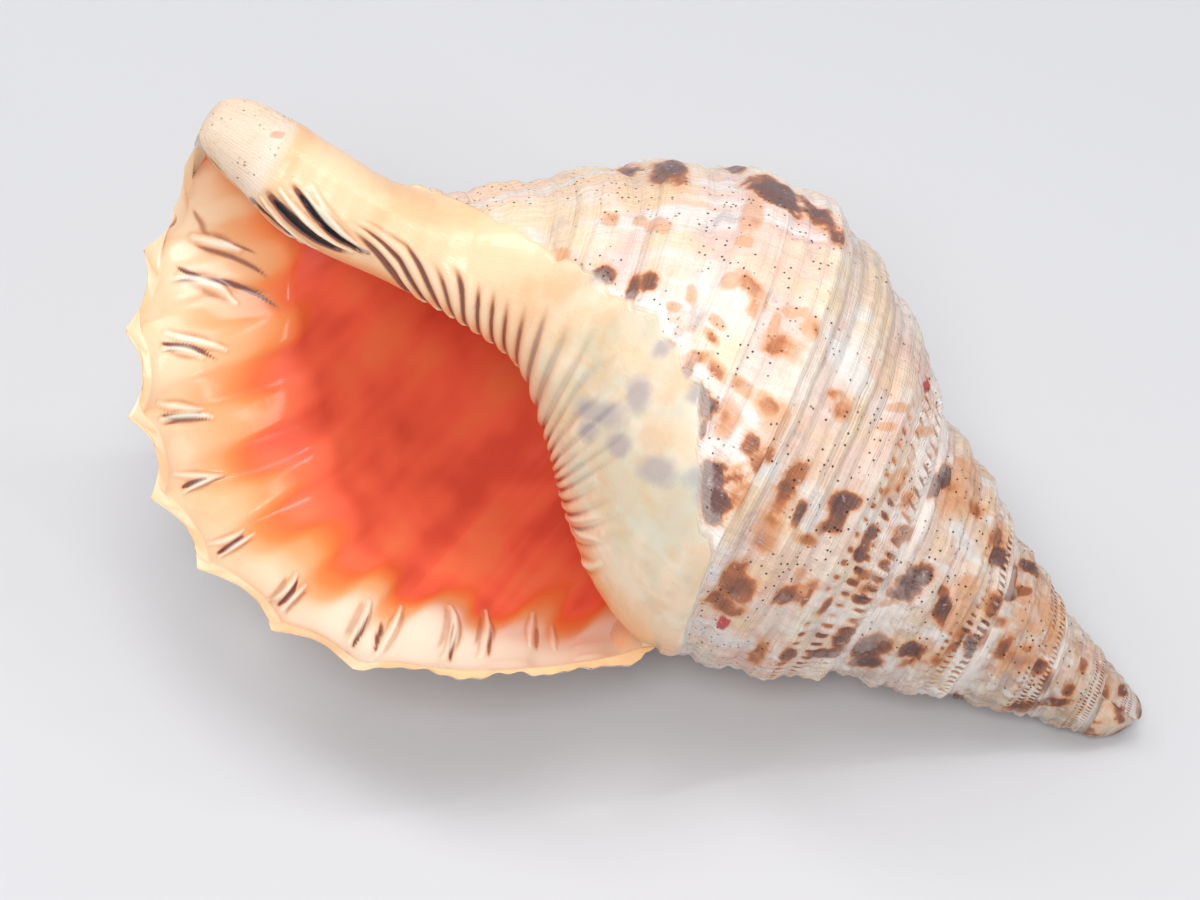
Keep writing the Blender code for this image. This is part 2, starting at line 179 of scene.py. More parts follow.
@dataclass(frozen=True)
class Growth:
    """Growth law of the shell. Lengths are millimetres down the axis and out from it.

    A turn value counts turns from the lip, 0, back to the apex, negative. A place value runs along the
    outline of a whorl: 0 at the upper seam, 1 at the shoulder or lower seam, 2 at the canal's end.
    """

    length: float = 350.0
    turns: float = 4.75
    down_ratio: float = 1.46
    out_ratio: float = 1.748
    seam_down: float = 157.3
    seam_out: float = 60.8
    apex_radius: float = 4.4
    shoulder_out: float = 96.3
    bulge: float = 0.105
    bulge_fade: float = 0.70
    bulge_skew: float = 0.84
    base_height: float = 0.89
    base_round: float = 2.09
    base_tail: float = 1.84
    pillar_blend: float = 5.0
    shoulder_blend: float = 12.0
    pillar_radius: float = 9.8
    pillar_swell: float = 4.8
    swell_down: float = 310.0
    swell_spread: float = 25.0
    swell_turn: float = -0.73
    gutter: float = 8.2
    gutter_turns: float = 0.6
    canal_taper: float = 15.3
    tip_share: float = 0.35
    tip_round: float = 0.98
    canal_bend: tuple = (5.6, -2.5)
    bend_start: float = 206.0
    bend_reach: float = 165.0
    samples: int = 200

    def seam(self, turn: Array) -> Pair:
        """Seam between whorls: its depth grows as down_ratio^turn and its radius as out_ratio^turn.

        Args:
            turn: Turns from the lip.

        Returns:
            Depths and radii.
        """
        grown = self.out_ratio ** turn
        out = self.seam_out * grown + self.apex_radius * (1.0 - grown)
        return self.seam_down * self.down_ratio ** turn, out

    def upper(self, turn: Array, place: Array) -> Pair:
        """Outline from seam to seam: a straight line between them plus a skewed sine bulge across it.

        Args:
            turn: Turns from the lip.
            place: Places on the outline.

        Returns:
            Depths and radii.
        """
        down_0, out_0 = self.seam(turn)
        down_1, out_1 = self.seam(turn + 1.0)
        narrowing = self.shoulder_out * self.down_ratio ** turn - out_1
        out_1 = out_1 + narrowing * ease(turn + 1.0)
        run = down_1 - down_0
        rise = out_1 - out_0
        swelling = self.bulge * self.bulge_fade ** (-turn) * np.sin(math.pi * place ** self.bulge_skew)
        return down_0 + run * place - rise * swelling, out_0 + rise * place + run * swelling

    def pillar(self, turn: Array, down: Array) -> Array:
        """Radius of the pillar: it grows with the whorl, swells near the canal and narrows at its end.

        Args:
            turn: Turns from the lip.
            down: Depths down the axis.

        Returns:
            Radii.
        """
        radius = self.pillar_radius * self.down_ratio ** np.minimum(turn + 1.0, 0.0)
        radius = radius + self.gutter * ease((turn + self.gutter_turns) / self.gutter_turns)
        swell = bump(down, self.swell_down, self.swell_spread)
        radius = radius + self.pillar_swell * swell * ease((self.swell_turn - turn) / 0.25)
        end = np.clip((down - self.length + self.canal_taper) / self.canal_taper, 0.0, 1.0)
        return radius * (self.tip_share + (1.0 - self.tip_share) * np.sqrt(1.0 - self.tip_round * end * end))

    def base(self, turn: Array, share: Array) -> Pair:
        """Outline from the shoulder to the canal's end, at shares of its own length.

        The radius falls as (1 - fall^round)^tail and runs into the pillar.

        Args:
            turn: One turn value per row.
            share: Shares of the length, 0 to 1, one row per turn or one row for all.

        Returns:
            Depths and radii, one row per turn.
        """
        turn, share = per_row(turn, share)
        down_1, out_1 = self.upper(turn, np.ones_like(turn))
        height = self.base_height * self.seam(turn)[0]
        along = np.linspace(0.0, 1.0, self.samples)[None, :]
        down = down_1 + (self.length - down_1) * along
        fall = np.clip((down - down_1) / height, 0.0, 1.0)
        out = out_1 * (1.0 - fall ** self.base_round) ** self.base_tail
        out = soft_max(out, self.pillar(turn, down), self.pillar_blend)
        out = out + (out_1 - out[:, :1]) * np.exp(-self.shoulder_blend * along)
        path = path_length(down, out)
        path = path / path[:, -1:]
        return read_rows(path, down, share), read_rows(path, out, share)

    def outline(self, turn: Array, place: Array) -> Pair:
        """Whole outline: the upper part where place is under 1 and the base beyond it.

        Args:
            turn: Turns from the lip.
            place: Places on the outline.

        Returns:
            Depths and radii.
        """
        column, place = per_row(turn, place)
        upper = self.upper(column, np.clip(place, 0.0, 1.0))
        base = self.base(turn, np.clip(place - 1.0, 0.0, 1.0))
        return np.where(place <= 1.0, upper[0], base[0]), np.where(place <= 1.0, upper[1], base[1])

    def spire_outline(self, turn: Array, place: Array) -> Pair:
        """Upper outline alone, for whorls that show no base."""
        return self.upper(*per_row(turn, place))

    def outward(self, turn: Array, place: Array, upper_only: bool = False) -> Pair:
        """Outward direction of the outline in its own plane, from points a hundredth ahead and behind.

        Args:
            turn: Turns from the lip.
            place: Places on the outline.
            upper_only: True for whorls that show no base.

        Returns:
            Shares of a unit length down the axis and out from it.
        """
        read = self.spire_outline if upper_only else self.outline
        top = 1.0 if upper_only else 2.0
        place = per_row(turn, place)[1]
        ahead = read(turn, np.clip(place + 0.01, 0.0, top))
        behind = read(turn, np.clip(place - 0.01, 0.0, top))
        step_down = ahead[0] - behind[0]
        step_out = ahead[1] - behind[1]
        length = np.hypot(step_down, step_out) + 1e-9
        return -step_out / length, step_down / length

    def put(self, down: Array, out: Array, angle: Array) -> Array:
        """Point in space: radius at an angle round the axis, shifted sideways where the canal bends.

        Args:
            down: Depths down the axis.
            out: Radii.
            angle: Angles round the axis.

        Returns:
            Points in millimetres, last axis x, y, z.
        """
        bend = ease((down - self.bend_start) / self.bend_reach)
        x = out * np.cos(angle) + self.canal_bend[0] * bend
        y = out * np.sin(angle) + self.canal_bend[1] * bend
        return np.stack([x, y, -down], axis=-1)


@dataclass(frozen=True)
class Resting:
    """How the shell lies: turned on its back and shifted onto the ground, in metres."""

    roll: float = math.radians(22.344)
    pitch: float = math.radians(25.36)
    shift: tuple = (0.1756808, 0.0126454, -0.0058389)

    def world(self, points: Array) -> Array:
        """Axis along X, then rolled and pitched; nothing reaches below the ground.

        Args:
            points: Points in millimetres down and out from the axis.

        Returns:
            Points in the room, metres.
        """
        laid = np.stack([points[..., 2], -points[..., 0], -points[..., 1]], axis=-1) * 0.001
        turned = Matrix.Rotation(self.pitch, 3, "Y") @ Matrix.Rotation(self.roll, 3, "X")
        laid = laid @ np.array(turned).T + np.array(self.shift)
        laid[..., 2] = np.maximum(laid[..., 2], 0.0)
        return laid


@dataclass(frozen=True)
class Lip:
    """Flared outer lip with its spines and tooth pairs, lengths in millimetres."""

    flare_turn: float = 0.085
    flare_places: tuple = (0.0, 0.3, 0.7, 1.1, 1.4, 1.7, 2.0)
    flare_out: tuple = (0.0, 2.5, 11.0, 19.0, 31.0, 28.9, 1.7)
    lean_places: tuple = (0.0, 0.5, 1.0, 1.5, 2.0)
    lean_angle: tuple = (0.0, -0.15, -0.025, 0.34, -0.055)
    lean_turn: float = 0.4
    opening: float = 1.02
    opening_start: float = 1.5
    opening_reach: float = 0.5
    spine_places: tuple = (1.0, 1.117, 1.25, 1.375, 1.517, 1.665, 1.80, 1.89)
    spine_lengths: tuple = (2.2, 4.6, 4.8, 5.0, 5.4, 5.2, 5.4, 3.0)
    spine_reach: float = 0.064
    spine_turn: float = 0.024

    def flare(self, turn: Array, place: Array) -> Array:
        """Turned-out lip: distance along the outward direction, eased in over the last flare_turn."""
        near = ease((turn + self.flare_turn) / self.flare_turn) ** 1.5
        return near * through_points(place, self.flare_places, self.flare_out)

    def lean(self, turn: Array, place: Array) -> Array:
        """Angle by which the lip edge runs ahead of, or behind, its plane."""
        near = ease((turn + self.lean_turn) / self.lean_turn)
        return near * through_points(place, self.lean_places, self.lean_angle)

    def recess(self, place: Array) -> Array:
        """Angle that the canal leaves open, growing from place 1.5 to 2."""
        return self.opening * ease((place - self.opening_start) / self.opening_reach)

    def spines(self, turn: Array, place: Array) -> Array:
        """Spines: at each place a cusp, length times (1 - distance / reach) squared, on the last stretch.

        Args:
            turn: Turns from the lip.
            place: Places on the outline.

        Returns:
            Lengths in millimetres.
        """
        total = np.zeros(np.broadcast(turn, place).shape)
        for middle, length in zip(self.spine_places, self.spine_lengths):
            near = np.clip(1.0 - np.abs(place - middle) / self.spine_reach, 0.0, 1.0)
            total = total + length * near * near
        return total * np.clip(1.0 + turn / self.spine_turn, 0.0, 1.0) ** 2


@dataclass(frozen=True)
class Relief:
    """Cords, threads, beads, varices, callus and worn lumps on the outside, lengths in millimetres."""

    cord_places: tuple = (-0.06, 0.1, 0.4, 0.7, 1.0, 1.117, 1.25, 1.367, 1.517, 1.65, 1.783, 1.883, 2.0)
    cord_height: float = 1.15
    cord_fade: tuple = (1.75, 0.2)
    thread_height: float = 0.4
    threads_per_cord: float = 4.0
    bead_height: float = 1.1
    beads_per_turn: float = 76.0
    varix_turns: tuple = (-0.46, -1.10, -1.74, -2.38, -3.02)
    varix_height: float = 3.0
    varix_spread: float = 0.028
    callus_thickness: float = 1.4
    margin_places: tuple = (0.84, 0.9, 0.95, 1.0, 1.04, 1.08, 1.12, 1.18, 1.25, 1.33, 1.42, 1.53, 1.6, 1.7,
                            2.0)
    margin_turns: tuple = (0.0, 0.06, 0.1, 0.15, 0.17, 0.2, 0.235, 0.257, 0.271, 0.29, 0.317, 0.39, 0.5, 0.55,
                           0.6)
    margin_jags: tuple = ((1.0, 47.0, 0.0), (0.7, 113.0, 1.0), (0.5, 241.0, 2.0))
    jag_turn: float = 0.003
    bead_table: tuple = ((1.0, 0.10, 0.055), (0.6, 0.24, 0.04), (0.35, 0.36, 0.04))
    growth_lines: tuple = ((61.0, 5.0), (97.0, -3.0))
    growth_height: float = 0.07
    lump: float = 0.8
    lump_cells: tuple = (14.0, 6.0)
    crust: float = 0.55
    crust_cell: float = 2.6
    crest_flatness: float = 1.6

    def cord(self, place: Array) -> Array:
        """Cord number at a place: whole numbers on the crests, halves in the grooves."""
        return np.interp(place, self.cord_places, np.arange(len(self.cord_places)))

    def crest(self, place: Array) -> Array:
        """Flat-topped wave between the cords: tanh of a cosine, -1 in grooves and 1 on crests."""
        wave = np.cos(FULL_TURN * self.cord(place))
        return np.tanh(self.crest_flatness * wave) / math.tanh(self.crest_flatness)

    def past_margin(self, turn: Array, place: Array) -> Array:
        """Turns from the callus margin, negative on the callus: the margin read by place, made jagged."""
        jagged = sum(height * np.sin(often * place + shift) for height, often, shift in self.margin_jags)
        return turn + 1.0 - np.interp(place, self.margin_places, self.margin_turns) - self.jag_turn * jagged

    def callus(self, turn: Array, place: Array) -> Array:
        """Cover of the callus: 1 on it, 0 off it, ending short of the canal's worn end.

        Args:
            turn: Turns from the lip.
            place: Places on the outline.

        Returns:
            Cover, 0 to 1.
        """
        cover = 1.0 - ease((self.past_margin(turn, place) + 0.004) / 0.008)
        cover = cover * rising(place, 0.84, 0.08) * falling(place, 1.86, 0.06)
        return cover * (turn > -1.0 - 1e-6)

    def bead_wave(self, turn: Array, place: Array) -> Array:
        """Wave of the beads along the whorl: 1 on a bead, -1 between two."""
        return np.cos(FULL_TURN * self.beads_per_turn * turn + 3.0 * place)

    def bead_rows(self, place: Array) -> Array:
        """Rows of beads beside the seam, strongest in the first."""
        return sum(height * bump(place, middle, reach) for height, middle, reach in self.bead_table)

    def height(self, turn: Array, place: Array, spot: Array) -> Array:
        """Height over the smooth whorl: cords + threads + beads + varices + lumps, thinner under the callus.

        Args:
            turn: Turn values, one per row.
            place: Places along the outline, one per column.
            spot: Rough positions in space, for the lumps.

        Returns:
            Heights in millimetres.
        """
        size = np.clip(1.748 ** turn, 0.0, 1.0)
        fade = 1.0 - ease((place - self.cord_fade[0]) / self.cord_fade[1])
        near_seam = (turn > -1.0) * falling(place, 0.3, 0.2)
        near_lip = ease((turn + 0.05) / 0.04) * rising(place, 0.7, 0.3)
        fade = fade * (1.0 - 0.6 * near_seam) * (1.0 - 0.85 * near_lip)
        height = self.cord_height * self.crest(place) * size ** 0.7 * fade
        cord = self.cord(place)
        threads = np.cos(FULL_TURN * self.threads_per_cord * cord + 0.8 * np.sin(FULL_TURN * 3.0 * turn))
        height = height + self.thread_height * threads * size ** 0.7 * fade
        height = height + self.bead_height * self.bead_wave(turn, place) * self.bead_rows(place) * size ** 0.8
        off_seam = ease(place / 0.15) * falling(place, 1.5, 0.3)
        for middle in self.varix_turns:
            height = height + self.varix_height * size * bump(turn, middle, self.varix_spread) * off_seam
        growth = sum(np.sin(FULL_TURN * often * turn + slant * place) for often, slant in self.growth_lines)
        height = height + self.growth_height * growth * size
        lumps = lattice_noise(spot, self.lump_cells[0], 3) + 0.5 * lattice_noise(spot, self.lump_cells[1], 4)
        height = height + self.lump * lumps * size ** 0.5 * (1.0 - 0.85 * near_lip)
        crust = self.crust * lattice_noise(spot, self.crust_cell, 5) * ease((-0.6 - turn) / 0.8)
        height = height + crust * off_seam
        cover = self.callus(turn, place)
        return height * (1.0 - 0.8 * cover) + self.callus_thickness * cover

    def pinned(self, turn: Array, place: Array) -> Array:
        """Share of the relief that is kept: none at the seams, where two whorls share their edge.

        Args:
            turn: Turns from the lip.
            place: Places on the outline.

        Returns:
            Shares, 0 to 1.
        """
        upper = ease(place / 0.03)
        lower = ease(np.abs(1.0 - place) / 0.03)
        free = ease((turn + 1.0) / 0.05)
        return upper * (lower + (1.0 - lower) * free)


@dataclass(frozen=True)
class Surface:
    """A grid of points in space with its turn and place values."""

    points: Array
    turn: Array
    place: Array


@dataclass(frozen=True)
class Skin:
    """Outer surface of the shell as a function of turn and place."""

    growth: Growth = field(default_factory=Growth)
    lip: Lip = field(default_factory=Lip)
    relief: Relief = field(default_factory=Relief)

    def at(self, turn: Array, place: Array, upper_only: bool = False) -> Surface:
        """Points of the outer surface: outline, plus its outward direction times relief and flare.

        Args:
            turn: Turn values of the rows.
            place: Places of the columns.
            upper_only: True where the outline ends at the lower seam.

        Returns:
            The grid of points in millimetres.
        """
        turns, places = np.meshgrid(turn, place, indexing="ij")
        read = self.growth.spire_outline if upper_only else self.growth.outline
        down, out = read(turn, place[None, :])
        side, away = self.growth.outward(turn, place[None, :], upper_only)
        recess = self.lip.recess(places)
        angle = recess - (FULL_TURN - recess) * turns + self.lip.lean(turns, places)
        rough = self.growth.put(down, out, angle)
        height = self.relief.height(turns, places, rough) * self.relief.pinned(turns, places)
        height = height + self.lip.flare(turns, places) + self.lip.spines(turns, places)
        down = np.minimum(down + side * height, self.growth.length)
        return Surface(self.growth.put(down, out + away * height, angle), turns, places)


def interp_rows(at: Array, path: Array, values: Array) -> Array:
    """Read one curve per row at that row's own places."""
    return np.stack([np.interp(a, p, v) for a, p, v in zip(at, path, values)])


@dataclass(frozen=True)
class Hollow:
    """Inside of the shell: the wall behind the lip and the pillar side, lengths in millimetres."""

    skin: Skin = field(default_factory=Skin)
    wall_at_lip: float = 1.7
    wall_inside: float = 4.0
    wall_turn: float = 0.06
    lining: float = 1.0
    pillar_gap: float = 1.0
    opening_hold: float = 0.05
    opening_turn: float = 0.25
    corrugation: float = 1.3
    corrugation_turn: float = 0.14
    pillar_samples: int = 160
    spine_share: float = 0.85
    first_depths: tuple = (0.0, 0.05, 0.12, 0.3, 1.0, 1.65, 2.7)
    first_places: tuple = (0.04, 0.16, 0.22, 0.17, 0.11, 0.13, 0.21)
    last_depths: tuple = (0.0, 0.03, 0.13, 0.2, 0.35, 0.55, 1.05, 1.65, 2.7)
    last_places: tuple = (1.93, 1.95, 1.87, 1.765, 1.685, 1.6, 1.43, 1.29, 1.155)

    def pillar_curve(self, depth: Array) -> Pair:
        """Depths and radii of the pillar side at each depth into the shell.

        Args:
            depth: Turns in from the lip.

        Returns:
            Depths and radii.
        """
        share = np.linspace(0.0, 1.0, self.pillar_samples)
        down, out = self.skin.growth.base(-depth - 1.0, share[None, :])
        return down, out + self.lining

    def wall_curve(self, depth: Array, place: Array, teeth: Array | float = 0.0) -> Pair:
        """Outline less the wall's thickness, plus the flare and the hollows that back the cords.

        Args:
            depth: Turns in from the lip, one per row.
            place: Places along the outline, one row per depth or one for all.
            teeth: Height that stands inwards, same shape as the result.

        Returns:
            Depths and radii.
        """
        growth = self.skin.growth
        down, out = growth.outline(-depth, place)
        side, away = growth.outward(-depth, place)
        into = depth[:, None]
        thick = self.wall_inside * growth.down_ratio ** -into
        wall = self.wall_at_lip + (thick - self.wall_at_lip) * ease(into / self.wall_turn)
        wall = wall + 1.4 * rising(place, 1.66, 0.12) * (1.0 - ease(into / 0.08))
        fade = ease(into / 0.024) * (1.0 - ease(into / self.corrugation_turn))
        hollows = self.corrugation * (self.skin.relief.crest(place) - 0.3) * fade
        hollows = hollows * ease(place / 0.3) * falling(place, 1.82, 0.12)
        tips = self.spine_share * self.skin.lip.spines(-into, place)
        rise = self.skin.lip.flare(-into, place) + tips - wall + hollows - teeth
        return down + side * rise, out + away * rise

    def free_range(self, depth: Array) -> Pair:
        """First and last place, per depth, where the wall stands clear of the pillar side."""
        first = through_points(depth, self.first_depths, self.first_places)
        return first, through_points(depth, self.last_depths, self.last_places)

    def wall(self, depth: Array, share: Array, teeth: Array | float = 0.0) -> Surface:
        """Inner face of the lip and the whorl's outer wall.

        Args:
            depth: Turns in from the lip, one per row.
            share: Shares of the free range, 0 at the seam and 1 at the canal's end.
            teeth: Heights that stand inwards.

        Returns:
            The grid of points, with turn and place values.
        """
        growth, lip = self.skin.growth, self.skin.lip
        first, last = self.free_range(depth)
        place = first[:, None] + (last - first)[:, None] * share[None, :]
        down, out = self.wall_curve(depth, place, teeth)
        pillar_down, pillar_out = self.pillar_curve(depth)
        out = np.maximum(out, interp_rows(down, pillar_down, pillar_out) + self.pillar_gap)
        into = depth[:, None]
        later = ease((into - self.opening_hold) / (self.opening_turn - self.opening_hold))
        even = 2.0 * share[None, :]
        even = place + (even - place) * rising(even, 1.7, 0.3) ** 2
        angle = FULL_TURN * into + lip.recess(even) * (1.0 - into) * (1.0 - later) + lip.lean(-into, even)
        return Surface(growth.put(down, out, angle), -np.broadcast_to(into, place.shape), place)

    def pillar(self, depth: Array, share: Array, rise: Array | float = 0.0) -> Surface:
        """Pillar side of the hollow, from the canal's end, share 0, to the seam, share 1.

        Args:
            depth: Turns in from the lip, one per row.
            share: Shares of the length between both corners.
            rise: Height over the smooth pillar, same shape as the result.

        Returns:
            The grid of points, with turn and place values.
        """
        growth, lip = self.skin.growth, self.skin.lip
        first, last = self.free_range(depth)
        ends = self.wall_curve(depth, np.stack([first, last], axis=1))[0]
        pillar_down, pillar_out = self.pillar_curve(depth)
        path = path_length(pillar_down, pillar_out)
        ends_at = interp_rows(ends, pillar_down, path)
        at = ends_at[:, 1:] + (ends_at[:, :1] - ends_at[:, 1:]) * share[None, :]
        down = interp_rows(at, path, pillar_down)
        out = interp_rows(at, path, pillar_out)
        step_down = np.gradient(down, axis=1)
        step_out = np.gradient(out, axis=1)
        length = np.hypot(step_down, step_out) + 1e-9
        down = down + step_out / length * rise
        out = out - step_down / length * rise
        into = depth[:, None]
        fade = ease(into / self.wall_turn) * (1.0 - ease(into / self.opening_turn))
        place = np.broadcast_to(2.0 - share[None, :], down.shape)
        angle = FULL_TURN * into + 0.5 * lip.recess(place) * fade
        return Surface(growth.put(down, out, angle), -1.0 - np.broadcast_to(into, down.shape), place)


def steps_between(edges: tuple, counts: tuple) -> Array:
    """Rising values through the edges, each stretch cut into its own count of even steps."""
    parts = [np.linspace(a, b, n + 1)[:-1] for a, b, n in zip(edges[:-1], edges[1:], counts)]
    return np.concatenate(parts + [[edges[-1]]])


def refine(coarse: Array, times: int) -> Array:
    """Points added evenly on the straight lines between coarse points.

    Args:
        coarse: Rows of x, y, z.
        times: Stretches made of each one.

    Returns:
        The finer rows.
    """
    at = np.arange((len(coarse) - 1) * times + 1) / times
    know = np.arange(len(coarse))
    return np.stack([np.interp(at, know, coarse[:, k]) for k in range(coarse.shape[1])], axis=1)


def sliced(values: Values, at: object) -> Values:
    """Part of every named array, by one numpy index."""
    return {name: value[at] for name, value in values.items()}


def grid_normal(points: Array) -> Array:
    """Outward unit normal of a grid: cross product of its two directions."""
    normal = np.cross(np.gradient(points, axis=0), np.gradient(points, axis=1))
    return normal / (np.linalg.norm(normal, axis=-1, keepdims=True) + 1e-9)


@dataclass(frozen=True)
class Sampling:
    """Steps of the grids, shared so that neighbouring pieces meet at the same points."""

    callus_end: float = 0.12
    lip_start: float = -0.12
    turn_counts: tuple = (80, 280, 100)
    coarse_rows: int = 56
    fine_rows: int = 112
    base_rows: int = 240
    lip_rows: tuple = (224, 480)
    thinning: int = 4
    lip_depths: tuple = (0.003, 0.05, 0.1, 0.16)
    lip_counts: tuple = (44, 26, 16)
    pillar_depths: tuple = (0.0, 0.03, 0.12, 0.6)
    pillar_counts: tuple = (18, 26, 30)
    throat_depths: tuple = (0.16, 0.6, 2.7)
    throat_counts: tuple = (44, 100)
    rim_points: int = 7

    def one_turn(self) -> Array:
        """Turn values over the last turn, closer together at the callus and at the lip."""
        return steps_between((-1.0, -1.0 + self.callus_end, self.lip_start, 0.0), self.turn_counts)

    def spire_turns(self, first: float) -> Array:
        """The same turn values repeated further back, from first to -1.

        Args:
            first: First turn value.

        Returns:
            Rising turn values.
        """
        turn = self.one_turn()
        laps = [turn[:-1] - k for k in range(4, 0, -1)]
        every = np.concatenate(laps + [[-1.0]])
        return every[every >= first - 1e-9]


class Sheet:
    """Mesh in the making: points in metres with named values, and faces by point number."""

    def __init__(self) -> None:
        """Start empty."""
        self.points: list[Array] = []
        self.values: dict[str, list[Array]] = {}
        self.faces: list[tuple] = []
        self.count = 0

    def add(self, points: Array, values: Values) -> Array:
        """Add points of any grid shape with their values.

        Args:
            points: Places, last axis x, y, z.
            values: One array per named value, in the grid's shape.

        Returns:
            The new points' numbers, in the grid's shape.
        """
        shape = points.shape[:-1]
        size = int(np.prod(shape))
        self.points.append(points.reshape(-1, 3))
        for name, value in values.items():
            self.values.setdefault(name, []).append(np.broadcast_to(value, shape).ravel())
        numbers = self.count + np.arange(size).reshape(shape)
        self.count += size
        return numbers

    def quads(self, numbers: Array, turned: bool = False) -> None:
        """Cover a grid of point numbers with quads; turned flips their side.

        Args:
            numbers: Point numbers of the grid.
            turned: True to flip the side.
        """
        a, b = numbers[:-1, :-1].ravel(), numbers[1:, :-1].ravel()
        c, d = numbers[1:, 1:].ravel(), numbers[:-1, 1:].ravel()
        order = (a, b, c, d) if turned else (a, d, c, b)
        self.faces += list(map(tuple, np.stack(order, axis=1).tolist()))

    def band(self, ring: Array, ahead: Array, turned: bool = False) -> None:
        """Cover the band between two closed rings of point numbers."""
        self.quads(np.stack([np.append(ring, ring[0]), np.append(ahead, ahead[0])]), turned)

    def fan(self, ring: Array, centre: int, turned: bool = False) -> None:
        """Close a ring with triangles to one point.

        Args:
            ring: Point numbers of the ring.
            centre: Number of the middle point.
            turned: True to flip the side.
        """
        ahead = np.roll(ring, -1)
        hub = np.full(len(ring), centre)
        order = (ring, ahead, hub) if turned else (ahead, ring, hub)
        self.faces += list(map(tuple, np.stack(order, axis=1).tolist()))

    def build(self, name: str, material: Material) -> bpy.types.Object:
        """Make the object: smooth-shaded mesh, named values as attributes, turn and place as UV map.

        Args:
            name: Name of the object and its mesh.
            material: Finish of the piece.

        Returns:
            The object, linked to the scene and riding on the root body.
        """
        mesh = bpy.data.meshes.new(name)
        mesh.from_pydata(np.concatenate(self.points).tolist(), [], self.faces)
        values = {key: np.concatenate(parts).astype(np.float32) for key, parts in self.values.items()}
        corner = np.empty(len(mesh.loops), dtype=np.int32)
        mesh.loops.foreach_get("vertex_index", corner)
        uv = np.stack([values.pop("turn")[corner], values.pop("place")[corner]], axis=1)
        mesh.uv_layers.new(name="growth").data.foreach_set("uv", uv.ravel())
        for key, value in values.items():
            mesh.attributes.new(key, "FLOAT", "POINT").data.foreach_set("value", value)
        mesh.shade_smooth()
        mesh.materials.append(material)
        piece = link_object(name, mesh)
        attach(piece, BODY)
        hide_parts(NODE)
        LOG.info("%s: %d points, %d faces", name, len(mesh.vertices), len(mesh.polygons))
        return piece


@dataclass(frozen=True)
class Streak:
    """Curved ridge or groove through three places on the surface, half width and height in millimetres."""

    first_turn: float
    first_place: float
    middle_turn: float
    middle_place: float
    last_turn: float
    last_place: float
    width: float
    height: float
    dark: float
    pale: float

    def path(self, count: int) -> Pair:
        """Turns and places along the curve: the parabola through the three places.

        Args:
            count: Number of points.

        Returns:
            Turn and place values.
        """
        along = np.linspace(0.0, 1.0, count)
        ends = (1.0 - along) * (1.0 - 2.0 * along), 4.0 * along * (1.0 - along), along * (2.0 * along - 1.0)
        turn = ends[0] * self.first_turn + ends[1] * self.middle_turn + ends[2] * self.last_turn
        place = ends[0] * self.first_place + ends[1] * self.middle_place + ends[2] * self.last_place
        return turn, place


@dataclass(frozen=True)
class Spot:
    """One brown patch: middle in turn and place, half lengths, slant, tone 0 amber to 1 purple-brown."""

    turn: float
    place: float
    along: float
    across: float
    tone: float
    slant: float = 0.0


@dataclass(frozen=True)
class FoldRow:
    """Parallel folds across the roll's inner edge, brown or black in the grooves between cream ridges."""

    lines: tuple = (1.139, 1.168, 1.192, 1.214, 1.234, 1.25, 1.265, 1.281, 1.3, 1.317, 1.336, 1.369, 1.407,
                    1.444, 1.475, 1.5, 1.525, 1.55, 1.575, 1.601, 1.632, 1.66)
    places: tuple = (1.1, 1.2, 1.26, 1.3, 1.4, 1.55, 1.66, 1.72, 1.78, 1.87)
    slants: tuple = (-0.9, -0.6, -0.4, -0.17, 0.0, 0.1, 0.45, 0.85, 1.4, 2.2)
    starts: tuple = (-0.94, -0.88, -0.84, -0.81, -0.77, -0.78, -0.83, -0.87, -0.9, -0.95)
    depths: tuple = (0.4, 0.7, 0.75, 0.8, 0.75, 0.72, 0.8, 1.1, 1.3, 1.3)
    narrow: tuple = (4.0, 3.2, 2.4, 2.2, 2.8, 3.0, 2.2, 0.9, 0.55, 0.5)
    heights: tuple = (0.25, 0.35, 0.4, 0.45, 0.45, 0.45, 0.5, 0.7, 0.8, 0.6)
    level: float = -0.92
    inner_end: float = -1.0
    inner_fade: float = 0.1

    def field(self, turn: Array, place: Array) -> Triple:
        """Height, darkness and paleness of the folds.

        The line number n of the slanted place gives a wave cos(2 pi n); its groove side to a power is the
        darkness, its ridge side the paleness, and all fade out between each fold's start and the hollow.

        Args:
            turn: Turns, negative from the lip.
            place: Places on the outline.

        Returns:
            The three fields in the grid's shape.
        """
        at = place - np.interp(place, self.places, self.slants) * (turn - self.level)
        number = np.interp(at, self.lines, np.arange(len(self.lines)))
        nearest = np.round(number)
        chance = np.modf(np.abs(np.sin(nearest * 12.9898 + 4.1)) * 437.5)[0]
        start = np.interp(at, self.places, self.starts) + 0.05 * (chance - 0.5)
        along = ease((start + 0.03 - turn) / 0.09) * (1.0 - ease((self.inner_end - turn) / self.inner_fade))
        along = along * ease((at - self.lines[0] + 0.01) / 0.02) * (1.0 - ease((at - self.lines[-1]) / 0.02))
        along = along * falling(place, 1.7, 0.05)
        wave = np.cos(FULL_TURN * number)
        groove = (0.5 + 0.5 * wave) ** np.interp(at, self.places, self.narrow)
        dark = np.interp(at, self.places, self.depths) * (0.75 + 0.35 * chance) * groove * along ** 0.7
        pale = (0.5 - 0.5 * wave) ** 2 * along * (0.3 + 0.7 * rising(at, 1.66, 0.06))
        return -np.interp(at, self.places, self.heights) * wave * along, np.minimum(dark, 1.0), pale


